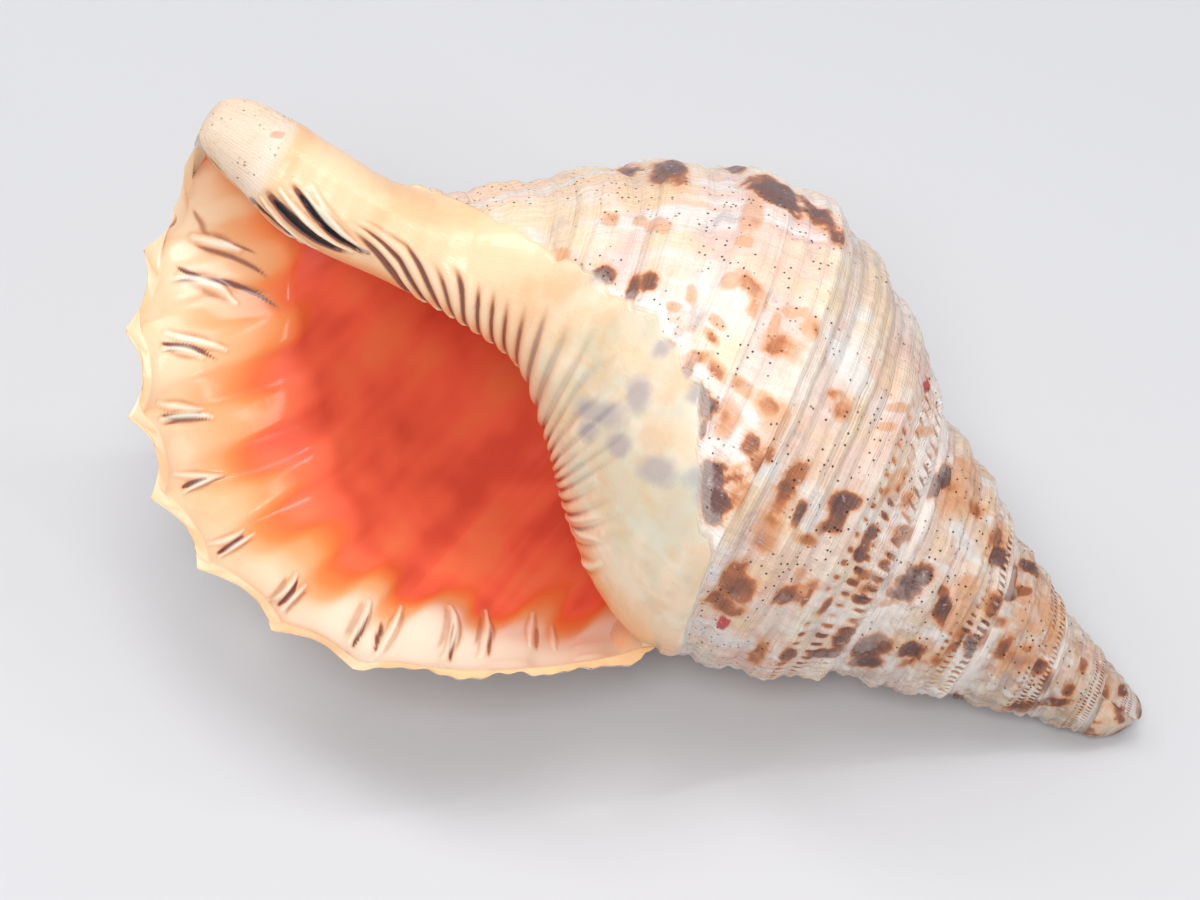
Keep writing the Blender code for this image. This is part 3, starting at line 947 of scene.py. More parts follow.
@dataclass(frozen=True)
class Markings:
    """Where colours lie on the shell, as smooth fields that the finishes sharpen."""

    teeth: tuple = ()
    folds: tuple = ()
    spots: tuple = ()
    fold_row: FoldRow = field(default_factory=FoldRow)
    reach: float = 2.6
    least_width: float = 0.6
    blunt: float = 0.05
    round_reach: float = 1.3
    dark_edge: tuple = (0.3, 0.9)
    pale_reach: float = 0.75
    outline: float = 0.34
    outline_ring: tuple = (1.1, 0.5)
    halo: float = 0.3
    halo_edge: tuple = (0.5, 1.9)
    hidden_places: tuple = (0.14, 0.45, 0.72, 1.06, 1.2, 1.32, 1.46, 1.6)
    hidden_rows: tuple = (8, 3, 3, 3, 3, 3)

    def streak_field(self, points: Array, streaks: list) -> Triple:
        """Height, darkness and paleness near a set of curves.

        The distance to the curve over its half width, narrowing to both ends, eases each value out.

        Args:
            points: Places in millimetres, last axis x, y, z.
            streaks: Streaks with the points of their curves.

        Returns:
            The three fields in the grid's shape.
        """
        flat = points.reshape(-1, 3)
        height, dark, pale = np.zeros(len(flat)), np.zeros(len(flat)), np.zeros(len(flat))
        for streak, curve in streaks:
            reach = self.reach * streak.width
            near = ((flat > curve.min(axis=0) - reach) & (flat < curve.max(axis=0) + reach)).all(axis=1)
            at = np.nonzero(near)[0]
            step = curve[1:] - curve[:-1]
            away = flat[at][:, None, :] - curve[None, :-1]
            share = np.clip((away * step).sum(axis=-1) / ((step * step).sum(axis=-1) + 1e-9), 0.0, 1.0)
            gap = np.linalg.norm(away - share[..., None] * step, axis=-1)
            best = gap.argmin(axis=1)
            rows = np.arange(len(at))
            along = (best + share[rows, best]) / len(step)
            taper = np.sin(math.pi * (self.blunt + (1.0 - 2.0 * self.blunt) * along)) ** 0.7
            off = gap[rows, best] / (streak.width * np.maximum(taper, self.least_width))
            round_part = falling(off, 0.0, self.round_reach)
            flat_part = falling(off, *self.dark_edge)
            fine_part = falling(off, 0.0, self.pale_reach)
            height[at] += streak.height * round_part * taper
            dark[at] = np.maximum(dark[at], streak.dark * flat_part * ease(taper / 0.7))
            pale[at] = np.maximum(pale[at], streak.pale * fine_part * taper ** 0.5)
            outline = streak.pale * bump(off, *self.outline_ring) * taper ** 0.5
            dark[at] = np.maximum(dark[at], self.outline * outline)
            halo = streak.dark * falling(off, *self.halo_edge) * taper ** 0.5
            dark[at] = np.maximum(dark[at], self.halo * halo)
        return tuple(values.reshape(points.shape[:-1]) for values in (height, dark, pale))

    @cached_property
    def hidden_spots(self) -> list[Spot]:
        """Patches in rows along the cords on the far side of every whorl, placed by seeded chance.

        Returns:
            The patches.
        """
        chance = np.random.default_rng(17)
        made = []
        for lap, rows in enumerate(self.hidden_rows):
            for place in self.hidden_places[:rows]:
                turn = -0.5 - lap
                while turn < -0.03 - lap:
                    long = chance.uniform(0.006, 0.022)
                    turn += long + chance.uniform(0.03, 0.075)
                    if chance.random() < 0.72 and turn < -0.03 - lap:
                        shift, wide = chance.uniform(-0.03, 0.03), chance.uniform(0.018, 0.045)
                        made.append(Spot(turn, place + shift, long, wide, chance.uniform(0.45, 1.0),
                                         chance.uniform(-0.3, 0.3)))
        return made

    def fold_field(self, surface: Surface, streaks: list) -> Triple:
        """Row of folds together with the single streaks: heights added, the darkest and palest kept.

        Args:
            surface: The grid of points.
            streaks: Streaks with the points of their curves.

        Returns:
            The three fields in the grid's shape.
        """
        row = self.fold_row.field(surface.turn, surface.place)
        single = self.streak_field(surface.points, streaks)
        return row[0] + single[0], np.maximum(row[1], single[1]), np.maximum(row[2], single[2])

    def spot_field(self, turn: Array, place: Array) -> Pair:
        """Depth inside the nearest patch, 1 in its middle, 0 on its edge, and that patch's tone.

        With u and v the distances along and across over the half lengths, the depth is one less the cube
        root of |u|^3 + |v|^3, a rounded box.

        Args:
            turn: Turns from the lip.
            place: Places on the outline.

        Returns:
            Depth inside and tone, in the grid's shape.
        """
        inside = np.full(turn.shape, -1.0)
        tone = np.zeros(turn.shape)
        for spot in (*self.spots, *self.hidden_spots):
            near_rows = np.abs(turn - spot.turn) < 3.0 * spot.along
            if not near_rows.any():
                continue
            u = (turn - spot.turn - spot.slant * (place - spot.place)) / spot.along
            v = (place - spot.place) / spot.across
            depth = 1.0 - (np.abs(u) ** 3 + np.abs(v) ** 3) ** (1.0 / 3.0)
            closer = depth > inside
            tone = np.where(closer, spot.tone, tone)
            inside = np.where(closer, depth, inside)
        return inside, tone


@dataclass(frozen=True)
class Shell:
    """The whole shell: builds each piece from the same surfaces, so that edges meet."""

    hollow: Hollow = field(default_factory=Hollow)
    resting: Resting = field(default_factory=Resting)
    sampling: Sampling = field(default_factory=Sampling)
    markings: Markings = field(default_factory=Markings)
    apex_dome: float = 9.0
    apex_shares: tuple = (0.985, 0.94, 0.86, 0.75, 0.6, 0.42, 0.2)
    tip_shares: tuple = (0.9, 0.7, 0.45, 0.2)
    tip_dome: float = 1.6
    curve_points: int = 9
    tip_turn: float = -0.12
    beads_from: float = -0.52
    rim_swell: float = 0.0008
    rim_ends: float = 12.0
    roll_tone: float = 0.46
    spine_tone: float = 0.09
    pillar_tone: float = 1.6
    deep_tone: float = 2.0
    red_places: tuple = (0.2, 0.4, 0.5, 0.7, 0.9, 1.02, 1.1, 1.17, 1.3, 1.4, 1.48, 1.55, 1.6, 1.7, 1.9)
    red_depths: tuple = (0.16, 0.143, 0.139, 0.117, 0.091, 0.078, 0.066, 0.054, 0.048, 0.048, 0.057, 0.076,
                         0.095, 0.106, 0.11)

    @property
    def skin(self) -> Skin:
        """Outer surface."""
        return self.hollow.skin

    def world(self, points: Array) -> Array:
        """Points in the room, metres."""
        return self.resting.world(points)

    def on_wall(self, turn: float, place: float) -> Array:
        """One point inside the lip.

        Args:
            turn: Turn from the lip, negative.
            place: Place on the outline.

        Returns:
            The point in millimetres.
        """
        depth = np.array([max(-turn, self.sampling.lip_depths[0])])
        first, last = self.hollow.free_range(depth)
        return self.hollow.wall(depth, (place - first) / (last - first)).points[0, 0]

    def on_pillar(self, turn: float, place: float) -> Array:
        """One point on the pillar side: outside where the turn is above -1, inside the hollow below.

        Args:
            turn: Turn from the lip, negative.
            place: Place on the outline.

        Returns:
            The point in millimetres.
        """
        if turn >= -1.0:
            return self.skin.at(np.array([turn]), np.array([place])).points[0, 0]
        beside = 2.0 - place + np.array([-0.002, 0.0, 0.002])
        return self.hollow.pillar(np.array([-1.0 - turn]), beside).points[0, 1]

    def curves(self, streaks: tuple, on_surface: Callable[[float, float], Array]) -> list:
        """Pair each streak with the points of its curve on a surface.

        Args:
            streaks: The streaks.
            on_surface: Gives the point at a turn and a place.

        Returns:
            Pairs of a streak and its points.
        """
        return [
            (streak, np.stack([on_surface(t, p) for t, p in zip(*streak.path(self.curve_points))]))
            for streak in streaks
        ]

    def skin_values(self, surface: Surface, folds: tuple | None = None) -> Values:
        """Named values on the outer surface.

        The glaze is the largest of the callus, the lip's edge and the canal's worn tip, and how far inside
        it looks starts at the roll's tone and is lowered behind it. The patches are joined by the dark gaps
        between the beads. Chalk adds up from lumpy noise, the seams, the age of the whorl, a rim beside the
        callus and the tip. Age grows with the turns behind the last whorl. The veil is where the callus is
        thin, and the grooves are the low side of the cords' wave.

        Args:
            surface: The grid of points.
            folds: Height, darkness and paleness of the folds, or None away from them.

        Returns:
            One array per named value.
        """
        turn, place = surface.turn, surface.place
        relief = self.skin.relief
        spot, tone = self.markings.spot_field(turn, place)
        beads = relief.bead_wave(turn, place) * relief.bead_rows(place) * ease((self.beads_from - turn) / 0.1)
        patchy = lattice_noise(surface.points, 16.0, 31)
        beaded = (0.75 - 1.3 * beads + 0.6 * patchy) * np.minimum(relief.bead_rows(place) * 3.0, 1.0) - 0.9
        tone = np.where(beaded > spot, 0.6, tone)
        spot = np.maximum(spot, np.where(turn < self.beads_from, beaded, -1.0))
        cover = relief.callus(turn, place)
        lip_edge = ease((turn + 0.009) / 0.009) * ease(place / 0.1)
        worn = 0.5 * lattice_noise(surface.points, 22.0, 11) + 0.5 * lattice_noise(surface.points, 9.0, 12)
        seam = bump(place, 0.0, 0.2) + bump(place, 1.0, 0.12) * (turn < -1.0)
        young = 0.4 * falling(place, 0.85, 0.35) * (turn >= -1.0)
        age = np.clip(-turn / 2.8, 0.0, 1.0) * (turn < -1.0) + young
        past = relief.past_margin(turn, place)
        margin = bump(past, 0.004, 0.012) * falling(place, 1.3, 0.15) * rising(place, 0.8, 0.1)
        around = turn + 1.0
        first = 0.015 + 0.025 * rising(place, 1.1, 0.2)
        veil = ease((around - first) / 0.07) * falling(place, 1.32, 0.16)
        tip = rising(place, 1.85, 0.02) * (turn < self.tip_turn)
        ragged = 0.9 * bump(past, -0.006, 0.014) * np.clip(0.7 + 2.0 * worn, 0.0, 1.0) * (place < 1.35)
        tip_rim = bump(place, 1.865, 0.025) * (turn < self.tip_turn)
        points_tone = self.spine_tone * self.skin.lip.spines(turn, place) * lip_edge
        roll = (1.0 - ease(around / 0.2)) * rising(place, 1.12, 0.15) * falling(place, 1.6, 0.15)
        inward = (self.roll_tone + 0.1 * roll - 0.12 * rising(around, 0.03, 0.06)) * cover
        none = np.zeros(turn.shape)
        return {
            "turn": turn,
            "place": place,
            "glaze": np.maximum(np.maximum(cover, lip_edge), np.maximum(tip_rim, 0.5 * tip)),
            "inward": inward + points_tone + 0.1 * tip_rim,
            "dark": none if folds is None else folds[1],
            "pale": np.maximum(none if folds is None else folds[2], ragged * cover),
            "spot": spot,
            "tone": tone,
            "chalk": np.clip(0.24 + 0.5 * worn + 0.35 * seam + 0.3 * age, 0.0, 1.0) + 0.8 * margin + 0.62 * tip,
            "age": np.clip(age, 0.0, 1.0),
            "veil": veil * cover,
            "groove": (0.5 - 0.5 * relief.crest(place)) * (1.0 - tip),
        }

    def glaze_values(self, surface: Surface, inward: Array, dark: Array, pale: Array) -> Values:
        """Named values on the glazed surfaces of the aperture.

        Args:
            surface: The grid of points.
            inward: How far inside it looks.
            dark: Darkness of the lines.
            pale: Paleness of the ridges, and the painted light on the lip's lower band.

        Returns:
            One array per named value.
        """
        none = np.zeros(surface.turn.shape)
        return {
            "turn": surface.turn,
            "place": surface.place,
            "glaze": none + 1.0,
            "inward": inward,
            "dark": dark,
            "pale": pale,
            "spot": none - 1.0,
            "tone": none,
            "chalk": none,
            "age": none,
            "veil": none,
            "groove": none,
        }

    def spire(self, material: Material) -> None:
        """Small upper whorls with the worn apex, and the penultimate whorl below them.

        The apex is a dome: the last ring, its fine waves smoothed away, shrinks to each share s and rises
        by the dome's height times the root of 1 - s^2.

        Args:
            material: Finish of the piece.
        """
        cut = self.sampling
        upper_turns = cut.spire_turns(-self.skin.growth.turns)
        upper_turns = upper_turns[upper_turns <= -2.0 + 1e-9]
        lap = len(cut.one_turn()) - 1
        upper = self.skin.at(upper_turns, np.linspace(0.0, 1.0, cut.coarse_rows + 1), True)
        sheet = Sheet()
        values = self.skin_values(upper)
        world = self.world(upper.points)
        numbers = sheet.add(world[:, :-1], sliced(values, np.s_[:, :-1]))
        last = np.empty(len(upper_turns), int)
        last[:-lap] = numbers[lap:, 0]
        last[-lap:] = sheet.add(world[-lap:, -1], sliced(values, np.s_[-lap:, -1]))
        sheet.quads(np.concatenate([numbers, last[:, None]], axis=1), True)
        ring = np.concatenate([numbers[:lap, 0], [last[0]], numbers[0, 1:][::-1]])
        rim = np.concatenate([upper.points[:lap, 0], [upper.points[0, -1]], upper.points[0, 1:-1][::-1]])
        hub = rim.mean(axis=0)
        waves = np.fft.fft(rim - hub, axis=0)
        order = np.abs(np.fft.fftfreq(len(rim), 1.0 / len(rim)))[:, None]
        for share in self.apex_shares:
            kept = waves * np.exp(-((order / (2.0 + 60.0 * max(share - 0.8, 0.0))) ** 4))
            lifted = hub + np.fft.ifft(kept, axis=0).real * share
            lifted[:, 2] += self.apex_dome * math.sqrt(1.0 - share * share)
            ahead = sheet.add(self.world(lifted), self.apex_values(lifted, share))
            sheet.band(ring, ahead, True)
            ring = ahead
        top = (hub + np.array([0.0, 0.0, self.apex_dome]))[None, :]
        sheet.fan(ring, int(sheet.add(self.world(top), self.apex_values(top, 0.0))[0]), True)
        sheet.build("spire_upper", material)
        lower = self.skin.at(cut.one_turn() - 1.0, np.linspace(0.0, 1.0, cut.fine_rows + 1), True)
        points = self.world(lower.points)
        points[0] = refine(world[-1], cut.fine_rows // cut.coarse_rows)
        sheet = Sheet()
        sheet.quads(sheet.add(points, self.skin_values(lower)), True)
        sheet.build("spire_lower", material)

    def apex_values(self, points: Array, share: float) -> Values:
        """Values on the worn apex, whose turns run on with the distance from the rim.

        Args:
            points: Points in millimetres.
            share: Size of their ring, 1 at the rim.

        Returns:
            One array per named value.
        """
        turn = np.zeros(len(points)) - self.skin.growth.turns - 0.3 * (1.0 - share)
        values = self.skin_values(Surface(points, turn, np.linspace(0.2, 0.8, len(points))))
        values["spot"] = 0.1 + 0.5 * lattice_noise(points, 2.5, 21)
        values["tone"] = values["tone"] + 0.3
        return values

    def body(self, material: Material) -> Pair:
        """Shoulder and base of the last whorl, with the canal's tip.

        The tip is a dome as well, over the ring at the canal's end.

        Args:
            material: Finish of the piece.

        Returns:
            Edge of the lip on the coarse rows, from the seam to the canal's end, and the edge shared with the
            columella.
        """
        cut = self.sampling
        turns = cut.one_turn()
        rows = np.linspace(0.0, 1.0, cut.fine_rows + 1)
        shoulder = self.skin.at(turns, rows)
        before = self.skin.at(np.array([-1.0]), rows, True)
        shoulder_points = self.world(shoulder.points)
        shoulder_points[0] = self.world(before.points)[0]
        sheet = Sheet()
        sheet.quads(sheet.add(shoulder_points, self.skin_values(shoulder)), True)
        sheet.build("body_shoulder", material)
        start = cut.turn_counts[0]
        base = self.skin.at(turns, np.linspace(1.0, 2.0, cut.base_rows + 1))
        folds = self.markings.fold_field(base, self.curves(self.markings.folds, self.on_pillar))
        lifted = base.points + grid_normal(base.points) * (folds[0] * self.fold_reach(base))[..., None]
        base_points = self.world(lifted)
        values = self.skin_values(base, folds)
        sheet = Sheet()
        numbers = sheet.add(base_points[start:], sliced(values, np.s_[start:]))
        sheet.quads(numbers, True)
        ring_points = base.points[:, -1]
        hub = ring_points.mean(axis=0)
        before_start = sheet.add(base_points[:start, -1], sliced(values, np.s_[:start, -1]))
        ring = np.concatenate([before_start, numbers[:, -1]])
        end_values = sliced(values, np.s_[:, -1])
        for share in self.tip_shares:
            inner = hub + (ring_points - hub) * share
            inner[:, 2] -= self.tip_dome * math.sqrt(1.0 - share * share)
            ahead = sheet.add(self.world(inner), end_values)
            sheet.band(ring, ahead)
            ring = ahead
        tip = (hub - np.array([0.0, 0.0, self.tip_dome]))[None, :]
        sheet.fan(ring, int(sheet.add(self.world(tip), sliced(end_values, np.s_[:1]))[0]))
        sheet.build("body_base", material)
        edge = np.concatenate([shoulder_points[-1], base_points[-1, 1:]])
        return edge, base_points[start]

    def fold_reach(self, surface: Surface) -> Array:
        """Share of the folds' height that is kept: none on the outline's edges and near the lip."""
        return rising(surface.place, 1.0, 0.02) * ease((2.0 - surface.place) / 0.02) * (surface.turn < -0.5)

    def fine_edge(self, edge: Array) -> Array:
        """Lip edge on the fine rows, on straight lines between the coarse ones.

        Args:
            edge: Points of the edge on the coarse rows.

        Returns:
            Its points on the fine rows.
        """
        cut = self.sampling
        upper = refine(edge[: cut.fine_rows + 1], cut.lip_rows[0] // cut.fine_rows)
        lower = refine(edge[cut.fine_rows:], cut.lip_rows[1] // cut.base_rows)
        return np.concatenate([upper, lower[1:]])

    def lip_share(self, thin: int = 1) -> Array:
        """Shares of the free range for the lip's columns, thinned for the deep part."""
        counts = tuple(count // thin for count in self.sampling.lip_rows)
        return 0.5 * steps_between((0.0, 1.0, 2.0), counts)

    def inward_tone(self, surface: Surface) -> Array:
        """How far inside a point looks: depth over the depth where the red begins, 1 there.

        The rise is slower at first near the seam, and later on the pads between the teeth.

        Args:
            surface: The grid of points.

        Returns:
            Values from 0 at the edge upwards.
        """
        red = np.interp(surface.place, self.red_places, self.red_depths)
        crest = self.skin.relief.crest(surface.place)
        share = np.maximum(-surface.turn, 0.0) / red * (1.0 + 0.16 * crest)
        slower = 0.9 * falling(surface.place, 0.85, 0.3)
        power = 1.0 + slower - 0.33 * rising(surface.place, 1.38, 0.2)
        return np.minimum(share, 1.0) ** power + np.maximum(share - 1.0, 0.0)

    def lip(self, material: Material, edge: Array) -> None:
        """Rounded lip edge and the glazed band behind it with its tooth pairs.

        The edge is half an ellipse from the outer to the inner side: middle + half the gap times the
        cosine + forward times the swell times the sine.

        Args:
            material: Finish of the piece.
            edge: Lip edge on the coarse rows.
        """
        cut = self.sampling
        fine = self.fine_edge(edge)
        share = self.lip_share()
        depth = steps_between(cut.lip_depths, cut.lip_counts)
        smooth = self.hollow.wall(depth, share)
        teeth = self.curves(self.markings.teeth, self.on_wall)
        height, dark, pale = self.markings.streak_field(smooth.points, teeth)
        wall = self.hollow.wall(depth, share, height)
        points = self.world(wall.points)
        coarse = self.world(self.hollow.wall(depth[-1:], self.lip_share(cut.thinning)).points)[0]
        points[-1] = refine(coarse, cut.thinning)
        ahead = self.skin.at(np.array([-0.004, 0.0]), 2.0 * share)
        forward = ahead.points[1] - ahead.points[0]
        forward = self.world(forward) - self.world(0.0 * forward)
        forward = forward / (np.linalg.norm(forward, axis=1, keepdims=True) + 1e-9)
        middle = 0.5 * (fine + points[0])
        half = 0.5 * (fine - points[0])
        swell = np.minimum(np.linalg.norm(half, axis=1, keepdims=True), self.rim_swell)
        for from_end in (share[:, None], 1.0 - share[:, None]):
            swell = swell * np.sin(math.pi * np.clip(from_end * self.rim_ends, 0.0, 0.5))
        angle = math.pi * np.arange(1, cut.rim_points) / cut.rim_points
        rim = middle + half * np.cos(angle)[:, None, None] + forward * swell * np.sin(angle)[:, None, None]
        points = np.concatenate([fine[None], rim, points])
        extra = len(points) - len(depth)
        turn = np.concatenate([np.zeros((extra, len(share))), wall.turn])
        place = np.concatenate([np.broadcast_to(2.0 * share, (extra, len(share))), wall.place])
        base = np.concatenate([np.repeat(wall.points[:1], extra, axis=0), wall.points])
        whole = Surface(base, turn, place)
        pad = np.zeros((extra, len(share)))
        inward = np.maximum(self.inward_tone(whole), 0.0) + self.spine_tone * self.skin.lip.spines(turn, place)
        sheet = Sheet()
        dark = np.concatenate([pad, dark])
        # Painted light: the lip's lower band is cream in itself, but here it is pushed towards near-white to
        # cancel the red light bounced from the hollow and the shade that falls on this band.
        band = 0.95 * falling(place, 1.0, 0.3) * falling(inward, 0.25, 0.3)
        band = band * (1.0 - np.minimum(2.2 * dark, 1.0)) * ease((-turn - 0.002) / 0.008)
        light = np.maximum(np.concatenate([pad, pale]), band)
        values = self.glaze_values(whole, inward, dark, light)
        sheet.quads(sheet.add(points, values), True)
        sheet.build("lip", material)

    def columella(self, material: Material, edge: Array, border: Array) -> None:
        """Columella roll with its folds and the callus shield beside it.

        The folds' height is added along the surface's normal, and the inner rows run on into the hollow.
        How far inside a point looks starts at the roll's tone and rises by 1 over a reach of turns, which
        is longer towards the shoulder.

        Args:
            material: Finish of the piece.
            edge: Lip edge on the coarse rows.
            border: Edge shared with body_base.
        """
        cut = self.sampling
        turns = cut.one_turn()[: cut.turn_counts[0] + 1]
        rows = np.linspace(2.0, 1.0, cut.lip_rows[1] + 1)
        outside = self.skin.at(turns, rows)
        curves = self.curves(self.markings.folds, self.on_pillar)
        folds = self.markings.fold_field(outside, curves)
        height = folds[0] * self.fold_reach(outside)
        points = self.world(outside.points - grid_normal(outside.points) * height[..., None])
        points[-1] = refine(border[::-1], cut.lip_rows[1] // cut.base_rows)
        points[:, -1] = self.world(self.skin.at(turns, np.array([1.0])).points)[:, 0]
        values = self.skin_values(outside, folds)
        sheet = Sheet()
        outer = sheet.add(points, values)
        sheet.quads(outer)
        depth = steps_between(cut.pillar_depths, cut.pillar_counts)[1:]
        share = np.linspace(0.0, 1.0, cut.lip_rows[1] + 1)
        place = np.broadcast_to(2.0 - share, (len(depth), len(share)))
        smooth = self.hollow.pillar(depth, share)
        smooth = Surface(smooth.points, -1.0 - depth[:, None] + np.zeros(place.shape), place)
        fold_height, fold_dark, fold_pale = self.markings.fold_field(smooth, curves)
        edges = ease(share / 0.02) * ease((1.0 - share) / 0.02)
        callus = self.skin.relief.callus(np.array([[-1.0]]), place[:1])
        thick = self.skin.relief.callus_thickness * callus - self.hollow.lining
        fading = falling(depth, 0.0, 0.05)[:, None]
        inner = self.hollow.pillar(depth, share, fold_height * edges + fading * thick)
        low = ease((1.12 - place) / 0.12)
        reach = 0.05 + 0.16 * ease((1.22 - place) / 0.2) + 0.2 * low
        tone = self.roll_tone - 0.24 * low + ease((depth[:, None] - 0.004) / reach)
        glaze = self.glaze_values(inner, tone, fold_dark, fold_pale)
        numbers = sheet.add(self.world(inner.points)[:, :-1], sliced(glaze, np.s_[:, :-1]))
        ends = self.hollow.wall(depth, np.array([0.0, 1.0]))
        end_tone = np.stack([glaze["inward"][:, -1], glaze["inward"][:, 0]], axis=1)
        none = np.zeros(end_tone.shape)
        corner = sheet.add(self.world(ends.points), self.glaze_values(ends, end_tone, none, none))
        tip = sheet.add(edge[-1:], sliced(glaze, np.s_[:1, 0]))
        first = np.concatenate([tip, outer[0]])
        grid = np.concatenate([corner[:, 1:], numbers, corner[:, :1]], axis=1)
        sheet.quads(np.concatenate([first[None], grid]), True)
        sheet.build("columella", material)

    def throat(self, material: Material) -> None:
        """Deep part of the hollow, closed where it grows too narrow to see into.

        The wall's and the pillar's grids share their corners, and a fan closes the last ring.

        Args:
            material: Finish of the piece.
        """
        cut = self.sampling
        share = self.lip_share(cut.thinning)
        pillar_share = np.linspace(0.0, 1.0, cut.lip_rows[1] // cut.thinning + 1)
        turning = cut.throat_counts[0]
        depth = steps_between(cut.throat_depths, cut.throat_counts)
        wall = self.hollow.wall(depth, share)
        sheet = Sheet()
        none = np.zeros(wall.turn.shape)
        inward = np.maximum(self.inward_tone(wall), 0.0)
        numbers = sheet.add(self.world(wall.points), self.glaze_values(wall, inward, none, none))
        sheet.quads(numbers, True)
        deep = depth[turning:]
        pillar = self.hollow.pillar(deep, pillar_share)
        none = np.zeros(pillar.turn.shape)
        values = sliced(self.glaze_values(pillar, none + self.pillar_tone, none, none), np.s_[:, :-1])
        side = sheet.add(self.world(pillar.points)[:, :-1], values)
        ring = np.concatenate([numbers[turning:, -1:], side, numbers[turning:, :1]], axis=1)
        sheet.quads(ring, True)
        end = np.concatenate([wall.points[-1], pillar.points[-1, :-1]])
        hub = Surface(end.mean(axis=0)[None, :], -depth[-1:], np.array([1.0]))
        values = self.glaze_values(hub, np.array([self.deep_tone]), *np.zeros((2, 1)))
        centre = sheet.add(self.world(hub.points), values)
        sheet.fan(np.concatenate([numbers[-1], side[-1]]), int(centre[0]))
        sheet.build("throat", material)


class Marks(Enum):
    """Named values that the meshes carry for the finishes."""

    GLAZE = "glaze"
    INWARD = "inward"
    DARK = "dark"
    PALE = "pale"
    SPOT = "spot"
    TONE = "tone"
    CHALK = "chalk"
    AGE = "age"
    VEIL = "veil"
    GROOVE = "groove"


Socket = bpy.types.NodeSocket
Value = Socket | tuple | float


@dataclass(frozen=True)
class Graph:
    """A node tree with calls that add one node each. A value is a socket, or else a constant."""

    tree: NodeTree

    def link(self, value: Value, socket: Socket) -> None:
        """Link a socket to an input, or set the input to a constant; a colour gets full alpha.

        Args:
            value: Socket or constant.
            socket: Input that takes it.
        """
        if isinstance(value, Socket):
            self.tree.links.new(value, socket)
        else:
            socket.default_value = (*value, 1.0) if socket.type == "RGBA" else value

    def add(self, kind: str, **inputs: object) -> bpy.types.Node:
        """Add a node; keywords set its properties, and its inputs where the keyword is a socket's name.

        Args:
            kind: Node type without the ShaderNode prefix.
            inputs: Property or input values.

        Returns:
            The node.
        """
        node = self.tree.nodes.new("ShaderNode" + kind)
        sockets = {key: value for key, value in inputs.items() if not hasattr(node, key)}
        for key, value in inputs.items():
            if key not in sockets:
                setattr(node, key, value)
        for key, value in sockets.items():
            self.link(value, node.inputs[key.replace("_", " ")])
        return node

    def math(self, how: str, *values: Value, clamped: bool = False) -> Socket:
        """Math node on its values in order.

        Args:
            how: Blender's name of the operation.
            values: One, two or three values.
            clamped: True to keep the result between 0 and 1.

        Returns:
            The result's socket.
        """
        node = self.add("Math", operation=how, use_clamp=clamped)
        for socket, value in zip(node.inputs, values):
            self.link(value, socket)
        return node.outputs[0]

    def times(self, first: Value, second: Value, clamped: bool = False) -> Socket:
        """Product of two values."""
        return self.math("MULTIPLY", first, second, clamped=clamped)

    def times_plus(self, first: Value, second: Value, third: Value) -> Socket:
        """Product of the first two values, plus the third."""
        return self.math("MULTIPLY_ADD", first, second, third)

    def blend(self, share: Value, first: Value, second: Value) -> Socket:
        """Mix of two colours: the first at share 0, the second at share 1.

        Args:
            share: Share of the second colour.
            first: First colour.
            second: Second colour.

        Returns:
            The mixed colour.
        """
        node = self.add("Mix", data_type="RGBA")
        for index, value in ((0, share), (6, first), (7, second)):
            self.link(value, node.inputs[index])
        return node.outputs[2]

    def tint(self, colour: Value, over: Value, share: Value, amount: Value) -> Socket:
        """Blend a colour over another one, by a share times an amount."""
        return self.blend(self.times(share, amount), colour, over)

    def ramp(self, value: Socket, stops: tuple) -> Socket:
        """Colour ramp through stops of (place, colour).

        Args:
            value: Place on the ramp.
            stops: Pairs of place and colour, in order.

        Returns:
            The colour.
        """
        node = self.add("ValToRGB")
        self.link(value, node.inputs[0])
        elements = node.color_ramp.elements
        while len(elements) < len(stops):
            elements.new(0.5)
        for element, (place, colour) in zip(elements, stops):
            element.position = place
            element.color = (*colour, 1.0)
        return node.outputs[0]

    def mask(self, value: Socket, low: float, high: float) -> Socket:
        """Smooth mask: 0 at low and before it, 1 at high and beyond.

        Args:
            value: Value to read.
            low: Value where the mask is 0.
            high: Where it is 1.

        Returns:
            The mask.
        """
        node = self.add("MapRange", interpolation_type="SMOOTHSTEP")
        for socket, given in zip(node.inputs, (value, low, high)):
            self.link(given, socket)
        return node.outputs[0]

    def noise(self, vector: Value, scale: float, detail: float = 3.0, rough: float = 0.55) -> Socket:
        """Noise between 0 and 1, about 0.5, at a scale per metre."""
        return self.add("TexNoise", Vector=vector, Scale=scale, Detail=detail, Roughness=rough).outputs[0]

    def growth_noise(self, growth: Value, turns: float, places: float, detail: float) -> Socket:
        """Noise that is stretched along the growth: cells per turn and per place."""
        vector = self.add("Mapping", Vector=growth, Scale=(turns, places, 1.0)).outputs[0]
        return self.noise(vector, 1.0, detail)

    def place(self) -> Socket:
        """Object coordinates."""
        return self.add("TexCoord").outputs["Object"]

    def mark(self, mark: Marks) -> Socket:
        """One of the mesh's named values."""
        return self.add("Attribute", attribute_name=mark.value).outputs["Fac"]

    def growth(self) -> Socket:
        """UV map of turn and place."""
        return self.add("UVMap", uv_map="growth").outputs[0]


def link_object(name: str, data: bpy.types.ID) -> bpy.types.Object:
    """Make an object of its data and link it to the scene.

    Args:
        name: Name of the object.
        data: Mesh, light or camera.

    Returns:
        The object.
    """
    made = bpy.data.objects.new(name, data)
    bpy.context.scene.collection.objects.link(made)
    return made


def srgb(red: int, green: int, blue: int) -> tuple[float, float, float]:
    """Linear colour from screen values 0 to 255: ((c + 0.055) / 1.055)^2.4, or c / 12.92 where dark."""
    shares = (value / 255.0 for value in (red, green, blue))
    return tuple(c / 12.92 if c <= 0.04045 else ((c + 0.055) / 1.055) ** 2.4 for c in shares)


